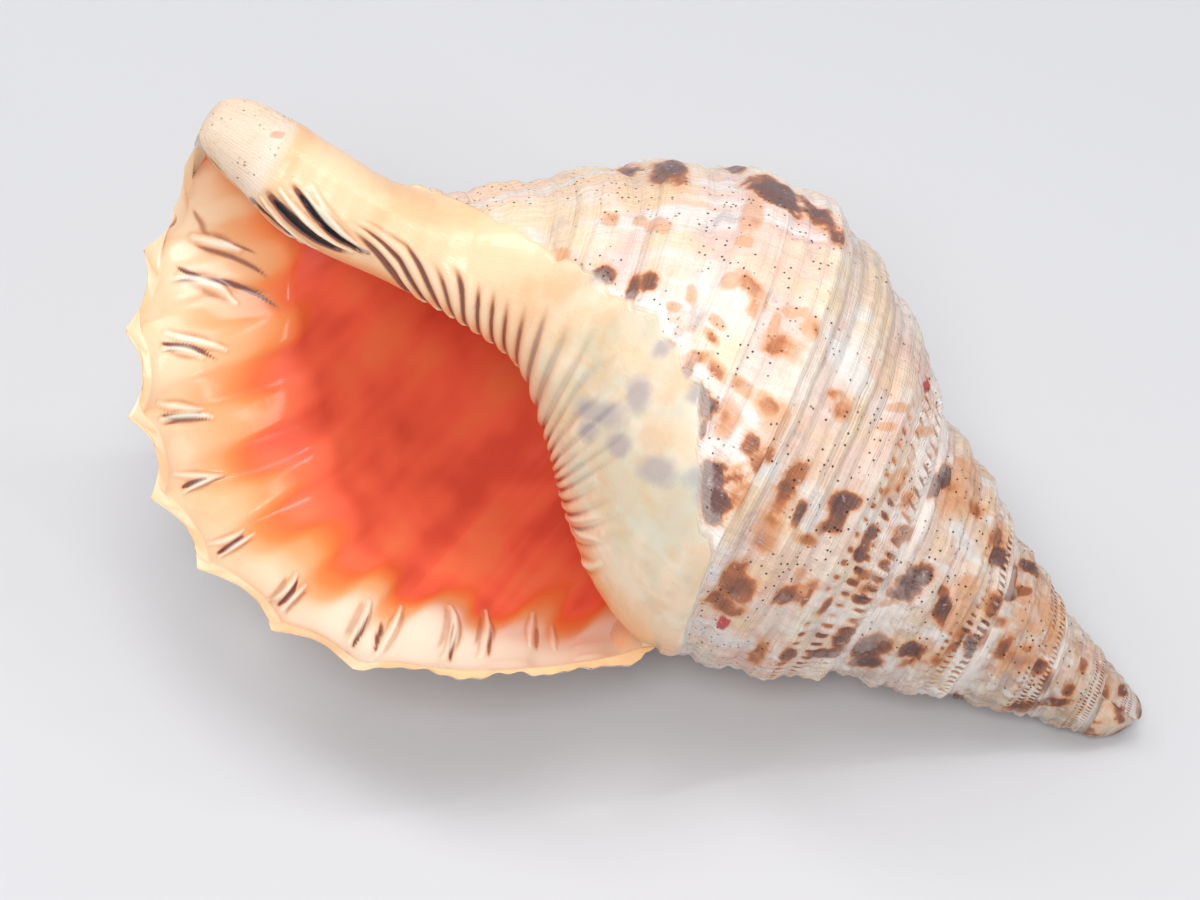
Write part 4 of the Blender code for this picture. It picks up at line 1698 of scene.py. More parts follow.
def new_group(name: str, inputs: tuple, outputs: tuple) -> tuple[Graph, bpy.types.Node, bpy.types.Node]:
    """Make a shader node group with named sockets.

    Args:
        name: Name of the group.
        inputs: Pairs of socket name and default number.
        outputs: Pairs of socket name and kind, Float or Color.

    Returns:
        The group's graph, its input node and its output node.
    """
    tree = bpy.data.node_groups.new(name, "ShaderNodeTree")
    for label, default in inputs:
        tree.interface.new_socket(label, in_out="INPUT", socket_type="NodeSocketFloat").default_value = default
    for label, kind in outputs:
        tree.interface.new_socket(label, in_out="OUTPUT", socket_type="NodeSocket" + kind)
    return Graph(tree), tree.nodes.new("NodeGroupInput"), tree.nodes.new("NodeGroupOutput")


@dataclass(frozen=True)
class GlazeTones:
    """Colours of the aperture from the lip's edge inwards."""

    edge: tuple = srgb(243, 203, 156)
    cream: tuple = srgb(248, 217, 180)
    butter: tuple = srgb(248, 208, 166)
    peach: tuple = srgb(242, 180, 128)
    orange: tuple = srgb(244, 146, 82)
    ember: tuple = srgb(246, 118, 68)
    red: tuple = srgb(255, 118, 86)
    bright: tuple = srgb(255, 140, 92)
    deep: tuple = srgb(228, 92, 70)
    rust: tuple = srgb(206, 138, 92)
    line: tuple = srgb(134, 86, 76)
    black: tuple = srgb(30, 24, 28)
    ridge: tuple = srgb(251, 249, 228)

    def group(self) -> NodeTree:
        """Glaze group: tone by depth, wavering patches, dark lines, and pale ridges, which on the lip's lower
        band include painted light.

        Returns:
            The node group.
        """
        graph, given, out = new_group(
            "glaze_tones",
            (("Inward", 0.0), ("Dark", 0.0), ("Pale", 0.0)),
            (("Colour", "Color"), ("Height", "Float")),
        )
        place, growth = graph.place(), graph.growth()
        cloud = graph.math("SUBTRACT", graph.noise(place, 42.0, 2.0), 0.5)
        inward = graph.times_plus(cloud, 0.22, given.outputs["Inward"])
        depth = graph.math("DIVIDE", inward, 1.6)
        colour = graph.ramp(depth, (
            (0.0, self.edge), (0.05, self.cream), (0.17, self.cream), (0.24, self.butter), (0.33, self.peach),
            (0.43, self.orange), (0.55, self.ember), (0.66, self.red), (0.9, self.red)))
        drift = graph.growth_noise(growth, 4.0, 9.0, 2.0)
        drift = graph.times(drift, 0.4)
        cloudy = graph.times_plus(graph.noise(place, 30.0, 2.0), 0.6, drift)
        inside = graph.mask(depth, 0.5, 0.7)
        dusk = graph.times(graph.mask(cloudy, 0.47, 0.62), inside)
        colour = graph.tint(colour, self.deep, dusk, 0.8)
        glow = graph.times(graph.mask(cloudy, 0.5, 0.38), inside)
        colour = graph.tint(colour, self.bright, glow, 0.8)
        tan = graph.mask(graph.noise(place, 38.0, 4.0), 0.46, 0.66)
        tan = graph.times(tan, graph.mask(depth, 0.5, 0.3))
        colour = graph.tint(colour, self.peach, tan, 0.5)
        thread = graph.noise(place, 420.0, 2.0)
        line = graph.times(given.outputs["Dark"], graph.times_plus(thread, 0.3, 0.85))
        warm = graph.ramp(line, (
            (0.0, self.rust), (0.25, self.rust), (0.55, self.line), (0.75, self.line), (0.95, self.black)))
        colour = graph.blend(graph.mask(line, 0.0, 0.5), colour, warm)
        # Near-white over the pale ridges, and over the lip's lower band, where it is painted light.
        colour = graph.tint(colour, self.ridge, given.outputs["Pale"], 0.92)
        graph.link(colour, out.inputs["Colour"])
        graph.link(graph.noise(place, 260.0, 3.0), out.inputs["Height"])
        return graph.tree


@dataclass(frozen=True)
class SkinTones:
    """Colours of the outside."""

    cream: tuple = srgb(248, 236, 222)
    blush: tuple = srgb(248, 208, 190)
    honey: tuple = srgb(247, 212, 162)
    pearl: tuple = srgb(240, 236, 232)
    mauve: tuple = srgb(226, 198, 196)
    lilac: tuple = srgb(184, 162, 162)
    chalk: tuple = srgb(252, 240, 232)
    moss: tuple = srgb(232, 216, 172)
    sand: tuple = srgb(230, 204, 178)
    amber: tuple = srgb(228, 154, 94)
    rust: tuple = srgb(188, 112, 70)
    brown: tuple = srgb(142, 88, 66)
    purple: tuple = srgb(110, 74, 70)
    berry: tuple = srgb(206, 70, 74)
    haze: tuple = srgb(160, 158, 168)
    sea: tuple = srgb(190, 200, 172)
    wax: tuple = srgb(240, 218, 186)
    fawn: tuple = srgb(222, 184, 142)
    pit: tuple = srgb(40, 34, 32)

    def ground(self, graph: Graph, given: bpy.types.Node) -> Socket:
        """Clouds of cream and blush with moss, lilac grooves, spiral bands and the older whorls' sand.

        Args:
            graph: The skin group's graph.
            given: Its input node.

        Returns:
            The ground colour.
        """
        place, growth = graph.place(), graph.growth()
        cloud = graph.noise(place, 34.0, 4.0)
        colour = graph.blend(graph.mask(cloud, 0.4, 0.6), self.cream, self.blush)
        tint = graph.noise(place, 27.0, 2.0)
        colour = graph.tint(colour, self.moss, graph.mask(tint, 0.54, 0.74), 0.4)
        colour = graph.tint(colour, self.honey, graph.mask(tint, 0.46, 0.3), 0.7)
        veil = graph.growth_noise(growth, 14.0, 9.0, 4.0)
        grooved = graph.times_plus(given.outputs["Groove"], 0.22, veil)
        colour = graph.tint(colour, self.mauve, graph.mask(grooved, 0.56, 0.8), 0.55)
        upper = graph.mask(graph.add("SeparateXYZ", Vector=growth).outputs[1], 1.12, 1.3)
        upper = graph.times(upper, graph.mask(graph.noise(place, 48.0, 3.0), 0.38, 0.6))
        colour = graph.tint(colour, self.honey, upper, 0.6)
        aged = graph.mask(graph.noise(place, 60.0, 3.0), 0.38, 0.62)
        colour = graph.tint(colour, self.sand, given.outputs["Age"], graph.times_plus(aged, 0.6, 0.25))
        worn = graph.mask(graph.noise(place, 150.0, 5.0, 0.65), 0.48, 0.62)
        worn = graph.times(worn, given.outputs["Age"])
        colour = graph.tint(colour, self.rust, worn, 0.45)
        bars = graph.growth_noise(growth, 34.0, 2.2, 2.0)
        colour = graph.tint(colour, self.honey, graph.mask(bars, 0.54, 0.66), 0.25)
        colour = graph.tint(colour, self.pearl, graph.mask(bars, 0.48, 0.36), 0.75)
        bands = graph.growth_noise(growth, 9.0, 95.0, 3.0)
        return graph.tint(colour, self.mauve, graph.mask(bands, 0.52, 0.72), 0.28)

    def group(self) -> NodeTree:
        """Skin group: ground, patches, specks that are partly painted glints, chalk crust and pits, and the
        same seen through thin glaze.

        Returns:
            The node group.
        """
        graph, given, out = new_group(
            "skin_tones",
            (("Spot", -1.0), ("Tone", 0.0), ("Chalk", 0.0), ("Age", 0.0), ("Groove", 0.0)),
            (("Colour", "Color"), ("Veiled", "Color"), ("Roughness", "Float"), ("Height", "Float")),
        )
        place, growth = graph.place(), graph.growth()
        colour = self.ground(graph, given)
        ragged = graph.math("SUBTRACT", graph.noise(place, 85.0, 4.0, 0.6), 0.5)
        blurred = graph.times_plus(ragged, 1.5, given.outputs["Spot"])
        soft = graph.times(graph.mask(blurred, -0.3, 0.6), 0.8)
        sea = graph.mask(graph.noise(place, 32.0, 3.0), 0.42, 0.58)
        veiled = graph.blend(0.6, colour, graph.blend(sea, self.wax, self.sea))
        mottle = graph.mask(graph.noise(place, 75.0, 4.0), 0.44, 0.62)
        veiled = graph.tint(veiled, self.fawn, mottle, 0.55)
        veiled = graph.blend(soft, veiled, self.haze)
        graph.link(veiled, out.inputs["Veiled"])
        inside = graph.times_plus(ragged, 2.0, given.outputs["Spot"])
        cover = graph.mask(inside, -0.35, 0.25)
        core = graph.mask(inside, -0.3, 0.6)
        shift = graph.math("SUBTRACT", given.outputs["Tone"], 0.7)
        shift = graph.times_plus(graph.noise(place, 75.0, 2.0), 1.5, shift)
        depth = graph.times(core, shift, clamped=True)
        patch = graph.ramp(depth, (
            (0.0, self.amber), (0.28, self.amber), (0.5, self.rust), (0.72, self.brown), (0.97, self.purple)))
        patch = graph.blend(graph.mask(given.outputs["Tone"], 1.4, 1.6), patch, self.berry)
        solid = graph.times_plus(graph.mask(depth, 0.15, 0.5), 0.36, 0.6)
        colour = graph.tint(colour, patch, cover, solid)
        # Fine cream specks: partly the shell's fine mottling, partly painted glints.
        speck_and_painted_glint = graph.mask(graph.noise(place, 420.0, 2.0), 0.64, 0.72)
        colour = graph.tint(colour, self.cream, speck_and_painted_glint, 0.3)
        crust = graph.noise(place, 210.0, 5.0, 0.65)
        worn = graph.times_plus(crust, 0.9, given.outputs["Chalk"])
        chalky = graph.mask(worn, 1.02, 1.3)
        bare = graph.times_plus(cover, -0.65, 0.92)
        colour = graph.tint(colour, self.chalk, chalky, bare)
        dirt = graph.mask(graph.noise(place, 95.0, 4.0, 0.65), 0.54, 0.68)
        colour = graph.tint(colour, self.lilac, dirt, graph.times_plus(given.outputs["Groove"], 0.4, 0.06))
        cells = graph.add("TexVoronoi", Vector=place, Scale=500.0)
        dot = graph.mask(cells.outputs["Distance"], 0.20, 0.12)
        sparse = graph.mask(graph.noise(place, 36.0, 3.0), 0.42, 0.54)
        pick = graph.mask(graph.add("SeparateColor", Color=cells.outputs["Color"]).outputs[0], 0.3, 0.32)
        clean = graph.mask(given.outputs["Chalk"], 1.15, 1.0)
        kept = graph.times(pick, clean)
        pits = graph.times(graph.times(dot, sparse), kept)
        colour = graph.tint(colour, self.pit, pits, 0.9)
        graph.link(colour, out.inputs["Colour"])
        rough = graph.times_plus(chalky, 0.25, graph.times_plus(crust, 0.3, 0.06))
        graph.link(rough, out.inputs["Roughness"])
        lines = graph.growth_noise(growth, 420.0, 7.0, 3.0)
        spiral = graph.growth_noise(growth, 6.0, 120.0, 3.0)
        height = graph.times_plus(lines, 0.5, graph.times(crust, 0.8))
        height = graph.times_plus(spiral, 0.9, height)
        height = graph.times_plus(chalky, 0.3, height)
        height = graph.math("SUBTRACT", height, graph.times(pits, 1.4))
        graph.link(height, out.inputs["Height"])
        return graph.tree


@dataclass(frozen=True, kw_only=True)
class ApertureFinish:
    """Finish of the glazed pieces inside the lip, and what the outside's finish shares with it."""

    name: str
    glaze: NodeTree
    roughness: float = 0.17
    ior: float = 1.46
    specular: float = 0.42
    glaze_relief: float = 0.04
    bump_strength: float = 0.8
    bump_distance: float = 0.0013

    def toned(self, graph: Graph, group: NodeTree, marks: tuple) -> bpy.types.Node:
        """Group node fed with the mesh's named values.

        Args:
            graph: The material's graph.
            group: The node group.
            marks: Values that go into the inputs of the same names.

        Returns:
            The group node.
        """
        node = graph.add("Group", node_tree=group)
        for mark in marks:
            graph.link(graph.mark(mark), node.inputs[mark.value.capitalize()])
        return node

    def looks(self, graph: Graph) -> tuple[Socket, Value, Socket]:
        """Colour, roughness and relief of the surface.

        Args:
            graph: The material's graph.

        Returns:
            The three sockets, the roughness possibly a constant.
        """
        glaze = self.toned(graph, self.glaze, (Marks.INWARD, Marks.DARK, Marks.PALE))
        relief = graph.times(glaze.outputs["Height"], self.glaze_relief)
        return glaze.outputs["Colour"], self.roughness, relief

    def material(self) -> Material:
        """Build the material.

        Returns:
            The finished material.
        """
        made = bpy.data.materials.new(self.name)
        made.use_nodes = True
        graph = Graph(made.node_tree)
        colour, rough, relief = self.looks(graph)
        raised = graph.add("Bump", Height=relief, Strength=self.bump_strength, Distance=self.bump_distance)
        values = {
            "Base Color": colour,
            "Roughness": rough,
            "Normal": raised.outputs[0],
            "IOR": self.ior,
            "Specular IOR Level": self.specular,
        }
        shader = made.node_tree.nodes["Principled BSDF"]
        for key, value in values.items():
            graph.link(value, shader.inputs[key])
        return made


@dataclass(frozen=True, kw_only=True)
class ShellFinish(ApertureFinish):
    """Finish of the other pieces: the outer skin, and a glaze over it where the glaze value is 1."""

    skin: NodeTree
    thinness: float = 0.8
    smoothing: float = 0.95

    def looks(self, graph: Graph) -> tuple[Socket, Value, Socket]:
        """Colour, roughness and relief: the skin's, the glaze's where it lies, or both where it is thin.

        Args:
            graph: The material's graph.

        Returns:
            The three sockets, the roughness possibly a constant.
        """
        skin = self.toned(graph, self.skin, (Marks.SPOT, Marks.TONE, Marks.CHALK, Marks.AGE, Marks.GROOVE))
        glaze = self.toned(graph, self.glaze, (Marks.INWARD, Marks.DARK, Marks.PALE))
        cover = graph.mark(Marks.GLAZE)
        thin = graph.times(graph.mark(Marks.VEIL), self.thinness)
        coat = graph.blend(thin, glaze.outputs["Colour"], skin.outputs["Veiled"])
        rough = graph.add("MapRange")
        for index, value in ((0, cover), (3, skin.outputs["Roughness"]), (4, self.roughness)):
            graph.link(value, rough.inputs[index])
        uncovered = graph.times_plus(cover, -self.smoothing, 1.0)
        relief = graph.times(skin.outputs["Height"], uncovered)
        relief = graph.times_plus(glaze.outputs["Height"], self.glaze_relief, relief)
        return graph.blend(cover, skin.outputs["Colour"], coat), rough.outputs[0], relief


@dataclass(frozen=True)
class Lamp:
    """Rectangular soft light at a place, turned to face a point, in metres and watts."""

    name: str
    place: tuple
    aim: tuple
    size: tuple
    power: float

    def hang(self) -> None:
        """Add the light to the scene."""
        light = bpy.data.lights.new(self.name, "AREA")
        light.shape = "RECTANGLE"
        light.size, light.size_y = self.size
        light.energy = self.power
        holder = link_object(self.name, light)
        holder.location = self.place
        holder.rotation_mode = "QUATERNION"
        holder.rotation_quaternion = (Vector(self.place) - Vector(self.aim)).to_track_quat("Z", "Y")


@dataclass(frozen=True)
class Room:
    """Pale floor, soft light and the camera."""

    floor_half: float = 6.0
    floor_tone: tuple = srgb(208, 208, 211)
    eye: tuple = (0.2154873, -0.5049805, 0.7572075)
    right: tuple = (0.9112777, 0.4117886, -0.0017749)
    up: tuple = (-0.3205711, 0.7121077, 0.6246093)
    back: tuple = (0.2584709, -0.5686235, 0.7809354)
    lens: float = 89.269
    sensor: float = 36.0
    nearest: float = 0.01
    world_tone: tuple = (0.97, 0.985, 1.0)
    world_strength: float = 0.46
    floor_roughness: float = 0.55
    lamps: tuple = (
        Lamp("ceiling_light", (0.05, 0.25, 2.0), (0.0, 0.0, 0.05), (1.1, 0.8), 12.5),
        Lamp("tube_light", (0.55, 0.43, 1.1), (-0.08, 0.0, 0.07), (0.025, 0.4), 1.3),
        Lamp("side_tube", (0.95, -0.44, 0.68), (-0.11, -0.03, 0.07), (0.02, 0.3), 0.8),
        Lamp("left_light", (-0.8, 0.1, 1.1), (-0.05, 0.0, 0.05), (0.3, 0.5), 3.0),
        Lamp("front_light", (0.25, -1.0, 1.65), (-0.02, 0.0, 0.06), (0.7, 0.7), 14.8),
    )

    def floor(self) -> None:
        """Flat pale ground."""
        half = self.floor_half
        mesh = bpy.data.meshes.new("floor")
        corners = [(-half, -half, 0.0), (half, -half, 0.0), (half, half, 0.0), (-half, half, 0.0)]
        mesh.from_pydata(corners, [], [(0, 1, 2, 3)])
        ground = link_object("floor", mesh)
        made = bpy.data.materials.new("pale_floor")
        made.use_nodes = True
        shader = made.node_tree.nodes["Principled BSDF"]
        shader.inputs["Base Color"].default_value = (*self.floor_tone, 1.0)
        shader.inputs["Roughness"].default_value = self.floor_roughness
        mesh.materials.append(made)

    def light(self) -> None:
        """White surroundings, soft lights above, left and in front, and two narrow tubes for glints."""
        world = bpy.data.worlds.new("pale_room")
        world.use_nodes = True
        background = world.node_tree.nodes["Background"]
        background.inputs["Color"].default_value = (*self.world_tone, 1.0)
        background.inputs["Strength"].default_value = self.world_strength
        bpy.context.scene.world = world
        for lamp in self.lamps:
            lamp.hang()

    def camera(self) -> None:
        """Camera at the viewing angle, with its picture centre on the object."""
        lens = bpy.data.cameras.new("camera")
        lens.lens = self.lens
        lens.sensor_width = self.sensor
        lens.clip_start = self.nearest
        holder = link_object("camera", lens)
        axes = np.stack([self.right, self.up, self.back], axis=1)
        holder.matrix_world = Matrix.Translation(self.eye) @ Matrix(axes.tolist()).to_4x4()
        bpy.context.scene.camera = holder


TEETH = tuple(Streak(*row) for row in (
    (-0.0082, 1.862, -0.02, 1.815, -0.0295, 1.786, 1.4, -0.3, 0.4, 0),
    (-0.0279, 1.791, -0.0397, 1.76, -0.0492, 1.732, 0.95, -0.15, 0.4356, 0),
    (-0.0196, 1.794, -0.0318, 1.769, -0.0408, 1.748, 2.395, 1.1375, 0, 1),
    (-0.0212, 1.779, -0.0384, 1.736, -0.0564, 1.681, 1.3, -0.2, 0.4781, 0),
    (-0.0139, 1.748, -0.0207, 1.727, -0.0275, 1.707, 0.99, -0.3, 0.85, 0),
    (-0.027, 1.709, -0.0417, 1.684, -0.0593, 1.652, 1.3, -0.1, 0.34, 0),
    (-0.0155, 1.731, -0.0294, 1.7, -0.0414, 1.655, 2.395, 1.3, 0, 1),
    (-0.0128, 1.725, -0.0379, 1.692, -0.0626, 1.621, 1.3, -0.3, 0.6375, 0),
    (-0.015, 1.648, -0.0256, 1.617, -0.0358, 1.586, 0.95, -0.1, 0.2869, 0),
    (-0.0145, 1.64, -0.0244, 1.612, -0.0341, 1.581, 1.7963, 0.975, 0, 1),
    (-0.0116, 1.625, -0.0196, 1.607, -0.0275, 1.585, 1.265, -0.4, 0.85, 0),
    (-0.0118, 1.616, -0.0192, 1.603, -0.0255, 1.581, 1.9126, 0.975, 0, 1),
    (-0.011, 1.611, -0.0221, 1.598, -0.0311, 1.567, 0.95, -0.1, 0.5312, 0),
    (-0.0097, 1.524, -0.0176, 1.503, -0.0245, 1.487, 1.7963, 0.975, 0, 0.9),
    (-0.0094, 1.501, -0.0161, 1.487, -0.0232, 1.481, 1.188, -0.4, 0.85, 0),
    (-0.0082, 1.495, -0.0181, 1.487, -0.0256, 1.468, 1.7963, 0.975, 0, 1),
    (-0.0077, 1.485, -0.0178, 1.478, -0.0251, 1.463, 0.95, -0.1, 0.4781, 0),
    (-0.0073, 1.399, -0.0179, 1.378, -0.0258, 1.363, 1.4304, 0.975, 0, 0.9),
    (-0.0104, 1.372, -0.0152, 1.371, -0.0195, 1.369, 1.188, -0.4, 0.7969, 0),
    (-0.01, 1.364, -0.0175, 1.366, -0.0244, 1.364, 1.314, 0.975, 0, 1),
    (-0.0096, 1.36, -0.0194, 1.362, -0.0283, 1.358, 0.95, -0.1, 0.3825, 0),
    (-0.0057, 1.276, -0.0157, 1.267, -0.0237, 1.269, 1.314, 0.975, 0, 0.9),
    (-0.0086, 1.256, -0.0162, 1.256, -0.0226, 1.261, 1.188, -0.4, 0.85, 0),
    (-0.0085, 1.249, -0.018, 1.253, -0.0263, 1.255, 1.314, 0.975, 0, 1),
    (-0.0065, 1.247, -0.0173, 1.248, -0.0262, 1.248, 0.95, -0.1, 0.34, 0),
    (-0.0044, 1.155, -0.0175, 1.152, -0.0268, 1.165, 1.5634, 0.975, 0, 1),
    (-0.0086, 1.141, -0.0186, 1.143, -0.0261, 1.155, 1.2, -0.4, 0.7, 0),
    (-0.0091, 1.131, -0.0195, 1.136, -0.0289, 1.14, 1.5634, 0.975, 0, 1),
    (-0.0092, 1.123, -0.0196, 1.13, -0.029, 1.131, 1.3, -0.1, 0.34, 0),
    (-0.0025, 1.152, -0.0143, 1.158, -0.0223, 1.17, 1.6, -0.1, 0.34, 0),
    (-0.0164, 1.024, -0.0313, 1.03, -0.0427, 1.047, 1.5634, 1.1375, 0, 1),
    (-0.0149, 1.015, -0.0265, 1.022, -0.0364, 1.03, 1.2, -0.3, 0.6, 0),
    (-0.0161, 1.036, -0.0291, 1.042, -0.0407, 1.056, 2.2, -0.1, 0.3, 0),
    (-0.0168, 0.977, -0.0364, 0.972, -0.0558, 0.99, 1.7963, 1.1375, 0, 1),
    (-0.0193, 0.988, -0.031, 0.996, -0.0408, 1.005, 1.2, -0.2, 0.55, 0),
    (-0.018, 0.96, -0.0363, 0.956, -0.0541, 0.968, 1.9, -0.1, 0.3, 0),
    (-0.0235, 0.769, -0.0508, 0.776, -0.0772, 0.844, 1.7963, 1.1375, 0, 1),
    (-0.0237, 0.745, -0.0399, 0.765, -0.0552, 0.79, 1.3, -0.3, 0.5, 0),
    (-0.0288, 0.802, -0.0504, 0.81, -0.0745, 0.86, 1.7, -0.1, 0.3, 0),
    (-0.0337, 0.655, -0.066, 0.67, -0.0978, 0.729, 1.9126, 1.1375, 0, 1),
    (-0.0324, 0.626, -0.0531, 0.645, -0.0731, 0.671, 1.3, -0.2, 0.45, 0),
    (-0.0461, 0.689, -0.0687, 0.703, -0.0923, 0.739, 1.3, -0.1, 0.34, 0),
    (-0.0516, 0.489, -0.0883, 0.524, -0.1164, 0.569, 1.5634, 0.975, 0, 0.9),
    (-0.0508, 0.465, -0.0763, 0.486, -0.0995, 0.518, 1.4, -0.2, 0.4, 0),
    (-0.0574, 0.394, -0.0844, 0.427, -0.1054, 0.467, 1.314, 0.65, 0, 0.5),
))
FOLDS = tuple(Streak(*row) for row in (
    (-0.9391, 1.127, -0.9826, 1.149, -0.9918, 1.159, 2.376, 0.9, 0, 1),
    (-0.9205, 1.146, -0.9461, 1.177, -0.9827, 1.205, 1.584, 0.6, 0, 0.8),
    (-0.9008, 1.164, -0.9347, 1.192, -0.9768, 1.218, 1.188, 0.5, 0, 0.7),
    (-0.9858, 1.889, -0.9812, 1.882, -0.9798, 1.876, 1.7424, -0.3, 0.9, 0),
    (-1.0134, 1.897, -1.0195, 1.847, -0.9963, 1.799, 1.6, 0.7, 0, 1),
    (-0.9621, 1.882, -0.9934, 1.85, -1.0135, 1.818, 1.826, -0.9, 1, 0),
    (-0.9199, 1.872, -0.9611, 1.823, -0.9817, 1.773, 1.6, 0.8, 0, 1),
    (-0.8873, 1.866, -0.928, 1.803, -0.9322, 1.738, 2.772, -1.1, 1, 0),
    (-0.848, 1.855, -0.8988, 1.793, -0.9163, 1.728, 1.6, 0.8, 0, 1),
    (-0.8091, 1.84, -0.8693, 1.779, -0.9005, 1.714, 1.826, -0.9, 1, 0),
    (-0.8086, 1.821, -0.8629, 1.766, -0.8926, 1.709, 1.6, 0.7, 0, 0.99),
    (-0.874, 1.787, -0.891, 1.746, -0.8885, 1.703, 1.5, -0.7, 1, 0),
    (-0.7686, 1.818, -0.853, 1.763, -0.8882, 1.7, 1.6, 0.6, 0, 0.66),
))
